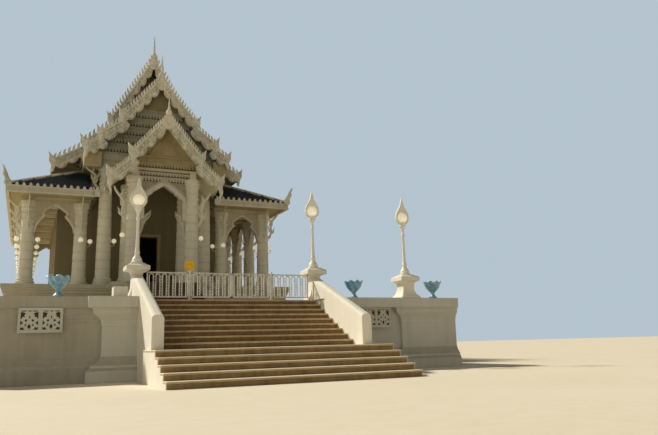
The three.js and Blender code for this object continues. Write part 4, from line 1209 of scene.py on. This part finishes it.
archFront = archShapes(-beamX0, beamX0, 0, porchY, top, "front", porchSide, porchArch)
faceY0 = porchY - porchArch["wallHalf"]
pendant, hollows = [], []
for level, size in porch["ledges"]:
    pendant.append(blockShape(-beamX0, beamX0, faceY0 - 0.10, faceY0 + 0.01, level, level + 0.06))
    pendant += dentilRow(-beamX0, beamX0, faceY0 - 0.04, level, size, porch["leafPitch"])
    # Painted shade in the hollow under each ledge's leaves.
    hollows.append(blockShape(-beamX0, beamX0, faceY0 - 0.03, faceY0 + 0.01, level - size * 0.9, level))
pendant.append(blockShape(-beamX0, beamX0, faceY0 - 0.16, faceY0 + 0.01, top - 0.12, top))
outerEdge = beside(archPath(porchSide, 0, porchArch), -porchArch["band"])
crown = [spot for spot in outerEdge if spot[1] > porch["crownFrom"]]
pendant += leafRow(crown[::-1], porch["crownLeaf"], 0.12, faceY0 - 0.07, faceY0 - 0.01)
peak = porchArch["peak"]
crest = [(0, peak + 0.12), (0.03, peak + 0.28), (0, peak + 0.5)]
pendant.append(curlShape(crest, 4, 0.09, 0.08, faceY0 - 0.07, 8))
flames = []
for u, v, size in ((0.93, 6.98, 0.34), (0.88, 7.22, 0.2)):
    flame = [(u, v - 0.3), (u - 0.08, v - 0.12), (u - 0.22, v), (u - 0.2 - size * 0.5, v + size * 0.75)]
    flames.append(curlShape(flame, 4, 0.075, 0.1, porchY, 8, 0.6, 0.2))
drop = [(1.0, 6.95), (0.98, 6.6), (1.04, 6.3), (1.1, 6.05)]
flames.append(curlShape(drop, 4, 0.1, 0.1, porchY, 8, 0.6, 0.15))
pendant += bothSides(flames)
makePiece("porch_arch_carving", pendant, hallPlaster, "plaster", ["porch_arch"],
          extra=[(archFront, gablePlaster), (rims[-1:], tileCap), (hollows, deepShade)])

portal = {
    "low": 0.36, "high": 0.30, "beam": 0.7, "ledge": 0.33, "leaf": 0.12, "leafPitch": 0.13,
    "bracketFoot": 8.7, "boxBottom": 9.74, "boxTop": 10.46, "boxOut": 0.5,      # the boxed ends of the eaves
}
half, rear, architraveTop = porticoBox[1]
archRear, bottom = at(19.64), architraveTop - portal["beam"]
boxFront, boxRear, boxBottom, boxTop = at(18.74), at(19.5), portal["boxBottom"], portal["boxTop"]
portalColumns = bothSides([columnShape(portalX, portalY, bottom + 0.001, portal["low"], portal["high"])])
porticoShapes = [
    blockShape(-half, half, porticoY, archRear, bottom, architraveTop),
    blockShape(-half + 0.2, half - 0.2, archRear - 0.001, rear, architraveTop - 0.12, architraveTop),
    *bothSides([blockShape(half - 0.28, half + portal["boxOut"] - 0.04, boxFront + 0.03, boxRear - 0.03,
                           boxBottom - 0.05, boxBottom + 0.01)])]
for level in (bottom, bottom + portal["ledge"]):
    porticoShapes.append(blockShape(-half, half, porticoY - 0.06, porticoY + 0.01, level, level + 0.07))
for level in (bottom + portal["ledge"], architraveTop):
    porticoShapes += dentilRow(-half, half, porticoY - 0.01, level, portal["leaf"], portal["leafPitch"])
sideFlames = bothSides(standing(bracketShapes(0.7, 1.25, 2, 3, 1.2), portalX + portal["low"], at(19.1),
                                portal["bracketFoot"], 0))
# The boxed eave ends' faces are in the soffit tan, painted shade.
boxes = bothSides([blockShape(half - 0.3, half + portal["boxOut"], boxFront, boxRear, boxBottom, boxTop),
                   blockShape(half - 0.01, half + 0.38, boxRear - 0.01, rear, boxBottom + 0.16,
                              boxTop - 0.04)])
# The portico's side walls take the dark door wall plaster, painted shade under the eave.
sideWalls = bothSides([blockShape(half - 0.2, half, archRear - 0.001, rear, ceilingUnder, architraveTop)])
makePiece("portico_front", porticoShapes + sideFlames, hallPlaster, "plaster", ["portico"],
          extra=[(boxes, soffitPlaster), (sideWalls, doorWall), (portalColumns, columnPlaster)])

door = {"half": 0.62, "top": 6.84, "jamb": 0.16, "proud": 0.07}
y0, y1, outer = cellaY - door["proud"], cellaY + 0.01, door["half"] + door["jamb"]
doorShapes = [blockShape(-outer, outer, y0, y1, door["top"], door["top"] + door["jamb"]),
              *bothSides([blockShape(door["half"], outer, y0, y1, floorTop, door["top"])])]
makePiece("door_surround", doorShapes, soffitPlaster, "plaster", bevel=0.01)

print("gables")
porchTiers = [(0, 11.8, 1.65, 9.85), (1.6, 9.6, 2.6, 8.72)]
frontTiers = [(0, 14.6, 1.88, 12.35), (1.78, 12.15, 2.9, 11.3), (2.8, 11.1, 3.55, 10.6)]
mainTiers = [(0, 16.8, 2.2, 12.95), (2.08, 12.75, 3.49, 11.55), (3.39, 11.35, 4.95, 10.4)]
verge = {
    "up": 0.11, "down": 0.42, "thick": 0.12, "lobe": 0.62, "drop": 0.17,
    "tipOut": 0.21, "tipUp": 0.50, "tooth": 0.07, "studPitch": 0.21,
}
toothOutline = [(0.0, -0.01), (-0.2, 0.4), (-0.62, 1), (0.02, 0.78), (0.42, 0.36), (0.6, -0.01)]
rosette = turnedShape([(0, 0), (0.085, 0), (0.09, 0.03), (0.07, 0.045), (0.05, 0.03), (0.035, 0.055),
                       (0, 0.06)], 0, 0, 12)


# The length of a slope, and a function from the distances along it and above it to x and z.
def slopePlace(x0, z0, x1, z1):
    length = math.hypot(x1 - x0, z1 - z0)
    ux, uz = (x1 - x0) / length, (z1 - z0) / length
    return length, lambda s, n: (x0 + ux * s - uz * n, z0 + uz * s + ux * n)


# One side of one tier: its scalloped board goes into boards, and its carving is what comes back.
def tierShapes(tier, y, boards, pitch, high):
    x0, z0, x1, z1 = tier
    length, spot = slopePlace(x0, z0 + verge["up"], x1, z1 + verge["up"])
    deep = (verge["up"] + verge["down"]) * (x1 - x0) / length
    y0, y1 = y - verge["thick"], y
    scallops = max(round(length / verge["lobe"]), 2)
    lower = []
    for k in range(scallops):
        for share, drop in ((0.0, 0.0), (0.12, 0.35), (0.35, 0.75), (0.6, 1.0), (0.82, 0.85), (0.97, 0.4)):
            lower.append(spot(length * (k + share) / scallops, -deep - drop * verge["drop"]))
    lower.append(spot(length, -deep))
    boards.append(prismShape([spot(0, 0), spot(length, 0), *reversed(lower)], y0 + 0.03, y1 - 0.01))
    edge = [spot(0, 0), spot(length + 0.04, 0)]
    shapes = [bandShape(edge, 0.0, -0.08, y0 - 0.01, y1),
              bandShape(edge, -deep + 0.07, -deep + 0.02, y0, y1)]
    count = int(length / pitch)
    pitch = length / count
    middle, half = (y0 + y1) / 2, verge["tooth"] / 2
    for k in range(count):
        outline = [spot((k + 0.3 + s) * pitch, n * high if n > 0 else n) for s, n in toothOutline]
        shapes.append(prismShape(outline, middle - half, middle + half))
    for k in range(int(length / verge["studPitch"])):
        cx, cz = spot((k + 0.5) * verge["studPitch"], -deep * 0.5)
        r = 0.085 if k % 2 else 0.055
        verts = [(cx + u * r, y0 + 0.03, cz + v * r) for u, v in ((1, 0), (0, 1), (-1, 0), (0, -1))]
        verts.append((cx, y0 - 0.03, cz))
        shapes.append((verts, [(0, 1, 4), (1, 2, 4), (2, 3, 4), (3, 0, 4), (3, 2, 1, 0)]))
    for k in range(scallops):
        cx, cz = spot(length * (k + 0.66) / scallops, -deep - 0.03)
        shapes.append(facingFront(rosette, cx, y0 + 0.03, cz, 1.2))
    return shapes + tierEnd(x1, z1, y)


# The upturned flame at the foot of a tier, with a pointed drop under it.
def tierEnd(x, z, y):
    y0, y1 = y - verge["thick"], y
    out, up = verge["tipOut"], verge["tipUp"]
    outline = smoothPath([
        (-0.03, -0.56), (0.03, -0.42), (0.06, -0.22), (0.13, -0.06), (out * 0.86, 0.06), (out * 0.8, 0.17),
        (out * 0.84, 0.32), (out, up), (0.09, 0.38), (-0.03, 0.28), (-0.16, 0.2), (-0.28, 0.2),
        (-0.30, -0.1), (-0.16, -0.22), (-0.10, -0.38)], 3, True)
    inner = [(u * 0.7 - 0.01, v * 0.72) for u, v in outline]
    shapes = [prismShape([(x + u, z + v) for u, v in outline], y0 + 0.02, y1 - 0.005),
              prismShape([(x + u, z + v) for u, v in inner], y0, y0 + 0.03)]
    for px, pz, lean in ((-0.10, 0.2, 0.14), (-0.22, 0.22, 0.11)):
        side = [(x + px, z + pz), (x + px - 0.01, z + pz + lean * 0.7), (x + px + 0.05, z + pz + lean * 1.5)]
        shapes.append(curlShape(side, 3, 0.055, 0.08, (y0 + y1) / 2))
    return [*shapes, facingFront(rosette, x - 0.06, y0 + 0.01, z - 0.04, 1.3)]


# The spire's turned foot, its stem as shares of its height, and the leaf behind it.
spireFoot = [(0, -0.1), (0.10, -0.1), (0.13, 0.02), (0.09, 0.10), (0.12, 0.14), (0.15, 0.24), (0.11, 0.36),
             (0.05, 0.42), (0.08, 0.46), (0.05, 0.50)]
spireStem = [(0.055, 0.45), (0.068, 0.5), (0.045, 0.54), (0.04, 0.66), (0.05, 0.7), (0.03, 0.74),
             (0.016, 0.88), (0.0, 1.0)]
spireLeaf = [(-0.30, -0.46), (-0.16, -0.04), (-0.18, 0.08), (-0.08, 0.14), (0.0, 0.45), (0.08, 0.14),
             (0.18, 0.08), (0.16, -0.04), (0.30, -0.46), (0, -0.6)]


def spireShapes(ridge, high, y):
    stem = [(radius, ridge + max(0.51, share * high)) for radius, share in spireStem]
    return [turnedShape(scaled(spireFoot, 1, ridge) + stem, 0, y - verge["thick"] / 2, 16),
            prismShape(scaled(spireLeaf, 1, ridge), y - verge["thick"] + 0.01, y - 0.02)]


# The carved verge of one gable, in place of its node. The rear ones are the front ones turned round.
def gableEdge(tiers, node, end, pitch, high):
    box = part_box(node)
    y = box[1][1] if end == "front" else 2 * middleY - box[0][1]
    boards = []
    shapes = bothSides([shape for tier in tiers for shape in tierShapes(tier, y, boards, pitch, high)])
    shapes += spireShapes(tiers[0][1], box[1][2] - tiers[0][1], y)
    boards = bothSides(boards)
    if node.startswith("porch"):
        x, z = tiers[-1][2:]
        bends = [(-0.02, -0.2), (0.03, -0.5), (-0.04, -0.75), (-0.01, -1.0)]
        drop = [(x + dx, z + dz) for dx, dz in bends]
        shapes += bothSides([curlShape(drop, 4, 0.11, 0.1, y - verge["thick"] / 2, 8)])
    if end == "rear":
        shapes, boards = turnedAll(shapes), turnedAll(boards)
    # The boards behind the carving take the darker ground plaster, painted shade.
    makePiece(node.replace("bargeboards", "verge"), shapes, carvedPlaster, "plaster", [node],
              extra=[(boards, groundPlaster)])


# The two numbers are the pitch and the height of the teeth.
gableEdge(porchTiers, "porch_bargeboards", "front", 0.155, 0.15)
gableEdge(frontTiers, "front_bargeboards", "front", 0.19, 0.2)
gableEdge(mainTiers, "main_front_bargeboards", "front", 0.24, 0.24)
gableEdge(frontTiers, "rear_bargeboards", "rear", 0.19, 0.2)
gableEdge(mainTiers, "main_rear_bargeboards", "rear", 0.24, 0.24)


# Half the roof's width at a height, on the tier that holds it or else on the last one.
def roofHalf(tiers, z):
    for x0, z0, x1, z1 in tiers:
        if z1 <= z <= z0:
            break
    return x0 + (z0 - z) / (z0 - z1) * (x1 - x0)


# Ledges with hanging leaves across a gable, with painted shade in the hollows between the leaves.
def gableRows(name, tiers, node, rows, finish, rear=False, proud=0.11, leaf=0.17, more=()):
    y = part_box(node)[0][1]
    shapes, hollows = list(more), []
    for level in rows["levels"]:
        reach = min(rows["half"], roofHalf(tiers, level + 0.45)) - 0.05
        if reach > 0.2:
            shapes.append(blockShape(-reach, reach, y - proud, y + 0.01, level, level + 0.07))
            shapes.append(blockShape(-reach, reach, y - proud * 0.6, y + 0.01, level + 0.07, level + 0.11))
            shapes += dentilRow(-reach, reach, y - proud * 0.5, level, leaf, leaf * 0.9)
            hollows.append(blockShape(-reach, reach, y - proud * 0.3, y + 0.01, level - leaf * 0.85, level))
    if rear:
        shapes, hollows = turnedAll(shapes), turnedAll(hollows)
    makePiece(name, shapes, finish, "plaster", extra=[(hollows, deepShade)])


frontRows = {"half": 3.05, "levels": [10.72 + 0.49 * k for k in range(5)]}
mainRows = {"half": 4.5, "levels": [10.6 + 0.51 * k for k in range(12)]}
topPanel = {"half": 1.2, "foot": 13.1, "peak": 14.4}
gableY, half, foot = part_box("front_tympanum")[0][1], topPanel["half"], topPanel["foot"]
gableTop = [prismShape([(-half, foot), (half, foot), (0, topPanel["peak"])], gableY - 0.03, gableY + 0.01),
            blockShape(-half, half, gableY - 0.07, gableY + 0.01, foot - 0.06, foot + 0.01)]
makePiece("gable_top_panels", gableTop + turnedAll(gableTop), gableTopPlaster, "plaster")
for rear, place in ((False, "front"), (True, "rear")):
    gableRows(place + "_gable_rows", frontTiers, "front_tympanum", frontRows, gablePlaster, rear)
    gableRows("main_" + place + "_gable_rows", mainTiers, "main_front_tympanum", mainRows, gablePlaster, rear)
porchRows = {"half": 1.5, "levels": [9.6]}
porchPanel = {"half": 0.83, "low": 9.66, "high": 9.86, "ledge": 9.96, "ledgeHalf": 1.15, "peak": 11.05}
half, low, high, ledge, ledgeHalf = (porchPanel[key] for key in ("half", "low", "high", "ledge", "ledgeHalf"))
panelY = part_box("porch_tympanum")[0][1]
back = panelY + 0.01
triangle = [(-0.86, ledge + 0.1), (0.86, ledge + 0.1), (0, porchPanel["peak"]), (-0.86, ledge + 0.1)]
panel = [blockShape(-ledgeHalf, ledgeHalf, panelY - 0.09, back, ledge, ledge + 0.07),
         *[blockShape(-half, half, panelY - 0.05, back, z, z + 0.04) for z in (low, high)],
         *bothSides([blockShape(half - 0.04, half, panelY - 0.048, back, low + 0.01, high + 0.03)]),
         bandShape(triangle, 0.0, 0.07, panelY - 0.06, back)]
gableRows("porch_gable_rows", porchTiers, "porch_tympanum", porchRows, warmPlaster, proud=0.1, leaf=0.16,
          more=panel)

print("roof tiles")
tileSetup = {"wide": 0.24, "long": 0.21, "thick": 0.016, "lift": 0.034, "capPitch": 0.29, "capHigh": 0.17}
capOutline = [(-0.05, 0), (-0.075, 0.38), (-0.045, 0.68), (0, 1.0), (0.045, 0.68), (0.075, 0.38), (0.05, 0)]


# Overlapping pointed tiles on a slope, in staggered rows that climb inward from the eave.
def tileField(start, along, inward, slope, length, depth, keep=None):
    start, along, inward = Vector(start), Vector(along), Vector(inward)
    normal = (Vector((0, 0, 1)) - inward * slope).normalized()
    climb = inward + Vector((0, 0, slope))
    wide, long = tileSetup["wide"], tileSetup["long"] / math.hypot(1, slope)
    verts, faces = [], []
    for row in range(int(depth / long) + 1):
        d = row * long
        offset = wide / 2 if row % 2 else 0
        for column in range(int(length / wide) + 1):
            a = column * wide + offset
            if a + wide / 2 > length + 0.02 or a - wide / 2 < -0.02:
                continue
            if keep and not keep(a, d + long / 2):
                continue
            head = min(long * 1.35, depth - d)
            if head < long * 0.5:
                continue
            base = len(verts)
            outline = ((-0.49, head), (-0.49, long * 0.42), (-0.25, long * 0.1), (0, 0), (0.25, long * 0.1),
                       (0.49, long * 0.42), (0.49, head))
            for above in (tileSetup["thick"], 0):
                for u, v in outline:
                    rise = 0.008 + tileSetup["lift"] * (1 - v / (long * 1.35)) + above
                    verts.append(tuple(start + along * (a + u * wide) + climb * (d + v) + normal * rise))
            faces += tubeFaces(2, 7, base)[:-1]      # open at its head, under the next row
    return verts, faces


# Pale pointed caps that stand in a row along an eave.
def capRow(start, along, length, out, high=tileSetup["capHigh"]):
    start, along, out = Vector(start), Vector(along), Vector(out)
    count = int(length / tileSetup["capPitch"])
    verts, faces = [], []
    for k in range(count):
        middle = start + along * ((k + 0.5) * length / count)
        faces += tubeFaces(2, len(capOutline), len(verts))
        for depth in (0.03, -0.02):
            verts += [tuple(middle + along * u + out * depth + Vector((0, 0, v * high)))
                      for u, v in capOutline]
    return verts, faces


# The tiles, eave caps and ridge roll of a stepped gable roof.
def gableTiles(tiers, y0, y1):
    tiles, caps = [], []
    for x0, z0, x1, z1 in tiers:
        slope = (z0 - z1) / (x1 - x0)
        tiles.append(tileField((x1, y0, z1), (0, 1, 0), (-1, 0, 0), slope, y1 - y0, x1 - x0))
        caps.append(capRow((x1, y0 + 0.1, z1 - 0.04), (0, 1, 0), y1 - y0 - 0.2, (1, 0, 0), 0.13))
    ridge = tiers[0][1]
    roll = [blockShape(-0.09, 0.09, y0, y1, ridge - 0.08, ridge + 0.09),
            blockShape(-0.06, 0.06, y0, y1, ridge + 0.09, ridge + 0.13)]
    return bothSides(tiles), bothSides(caps), roll


for name, tiers in (("porch_roof", porchTiers), ("front_roof", frontTiers), ("main_roof", mainTiers),
                    ("rear_roof", frontTiers)):
    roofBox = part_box(name)
    tiles, caps, roll = gableTiles(tiers, roofBox[0][1], roofBox[1][1])
    makePiece(name + "_tiles", tiles, darkTile, "roof_tile", sharp=25)
    makePiece(name + "_caps", caps + roll, tileCap, "plaster", sharp=25)

gallery = {
    "slope": 0.5, "eaveRise": 0.14,      # the eave's edge over the ceiling's top
    "start": 2.82,                       # where the front eave begins beside the porch
    "rearFill": 0.6,                     # how deep the tiles run in the middle of the rear eave
}
eaveX, eaveY, eaveZ = galleryBox[1][0], galleryBox[0][1], ceilingBox[1][2] + gallery["eaveRise"]
rearEaveY, fasciaLow, porticoHalf = 2 * middleY - eaveY, galleryBox[0][2], porticoBox[1][0]
corner, sideLength, hipEnd = (eaveX, eaveY, eaveZ), rearEaveY - eaveY, eaveX - porticoHalf
fields = [
    tileField(corner, (-1, 0, 0), (0, 1, 0), gallery["slope"], hipEnd, cellaY - eaveY, lambda a, d: a >= d),
    tileField(corner, (0, 1, 0), (-1, 0, 0), gallery["slope"], sideLength / 2, hipEnd,
              lambda a, d: a >= d and (d < eaveX - cellaX or a + eaveY < cellaY)),
]
sideTiles = fields + [turnedRound(mirrored(field)) for field in fields]
rearFill = tileField((-porticoHalf, rearEaveY, eaveZ), (1, 0, 0), (0, -1, 0), gallery["slope"],
                     2 * porticoHalf, gallery["rearFill"])
makePiece("gallery_tiles", bothSides(sideTiles) + [rearFill], darkTile, "roof_tile", sharp=25)
caps = [capRow((gallery["start"], eaveY, eaveZ - 0.02), (1, 0, 0), eaveX - gallery["start"], (0, -1, 0)),
        capRow((eaveX, eaveY, eaveZ - 0.02), (0, 1, 0), sideLength, (1, 0, 0)),
        capRow((0, rearEaveY, eaveZ - 0.02), (1, 0, 0), eaveX, (0, 1, 0))]

# A pale ridge along each hip, from the eave's corner up to the portico or its twin at the rear.
start, end = Vector(corner), Vector((porticoHalf, eaveY + hipEnd, eaveZ + hipEnd * gallery["slope"]))
across = Vector((end.y - start.y, start.x - end.x, 0)).normalized()
section = [(-0.09, -0.02), (-0.07, 0.09), (0.0, 0.13), (0.07, 0.09), (0.09, -0.02)]
hip = ([tuple(spot + across * u + Vector((0, 0, v))) for spot in (start, end) for u, v in section],
       tubeFaces(2, len(section)))


def fasciaStrip(z0, z1, out):
    return [blockShape(gallery["start"], eaveX + out, eaveY - out, eaveY + 0.02, z0, z1),
            blockShape(eaveX - 0.02, eaveX + out, eaveY, rearEaveY, z0, z1),
            blockShape(0, eaveX + out, rearEaveY - 0.02, rearEaveY + out, z0, z1)]


roofEnd = prismShape([(eaveY, fasciaLow), (eaveY, eaveZ), (porticoY, eaveZ + 0.3), (porticoY, ceilingUnder)],
                     porticoHalf - 0.02, porticoHalf + 0.02, "side")
flashZ = eaveZ + (eaveX - cellaX) * gallery["slope"]
trim = [
    *fasciaStrip(eaveZ - 0.07, eaveZ - 0.01, 0.04), *fasciaStrip(fasciaLow - 0.01, fasciaLow + 0.05, 0.025),
    hip, turnedRound(mirrored(hip)), roofEnd,
    blockShape(gallery["start"], porticoHalf + 0.01, eaveY, eaveY + 0.06, fasciaLow, eaveZ),
    blockShape(cellaX - 0.02, cellaX + 0.1, cellaY, 2 * middleY - cellaY, flashZ - 0.06, flashZ + 0.1)]
makePiece("gallery_eave_trim", bothSides(caps + trim), tileCap, "plaster", sharp=25)

blade = smoothPath([
    (-0.52, -0.02), (-0.34, 0.10), (-0.16, 0.24), (-0.02, 0.42), (0.1, 0.62), (0.30, 0.86), (0.22, 0.60),
    (0.24, 0.42), (0.12, 0.26), (0.14, 0.12), (0.08, -0.04)], 3, True)
inner = [(u * 0.62 - 0.05, v * 0.62 + 0.06) for u, v in blade]
finial = [prismShape(blade, -0.035, 0.035), prismShape(inner, -0.05, 0.05)]
corners = standing(finial, eaveX - 0.02, eaveY + 0.02, eaveZ, -45)
corners += standing(finial, eaveX - 0.02, rearEaveY - 0.02, eaveZ, 45)
makePiece("eave_corner_flames", bothSides(corners), carvedPlaster, "plaster")

dress("terrace_core", terracePlaster)
dress("rear_gable_base", hallPlaster)
dress("hall_front_wall hall_rear_wall", doorWall)
dress("hall_left_wall hall_right_wall", innerPlaster)
# Painted bounce light: the ceilings take the warm soffit tan.
dress("hall_ceiling gallery_ceiling", soffitPlaster)
dress("gallery_roof", galleryDeck)
dress("porch_roof", porchDeck)
dress("front_roof rear_roof main_roof", upperDeck)
dress("front_tympanum rear_tympanum main_front_tympanum main_rear_tympanum", gablePlaster)
dress("porch_tympanum", warmPlaster)

print("finish")
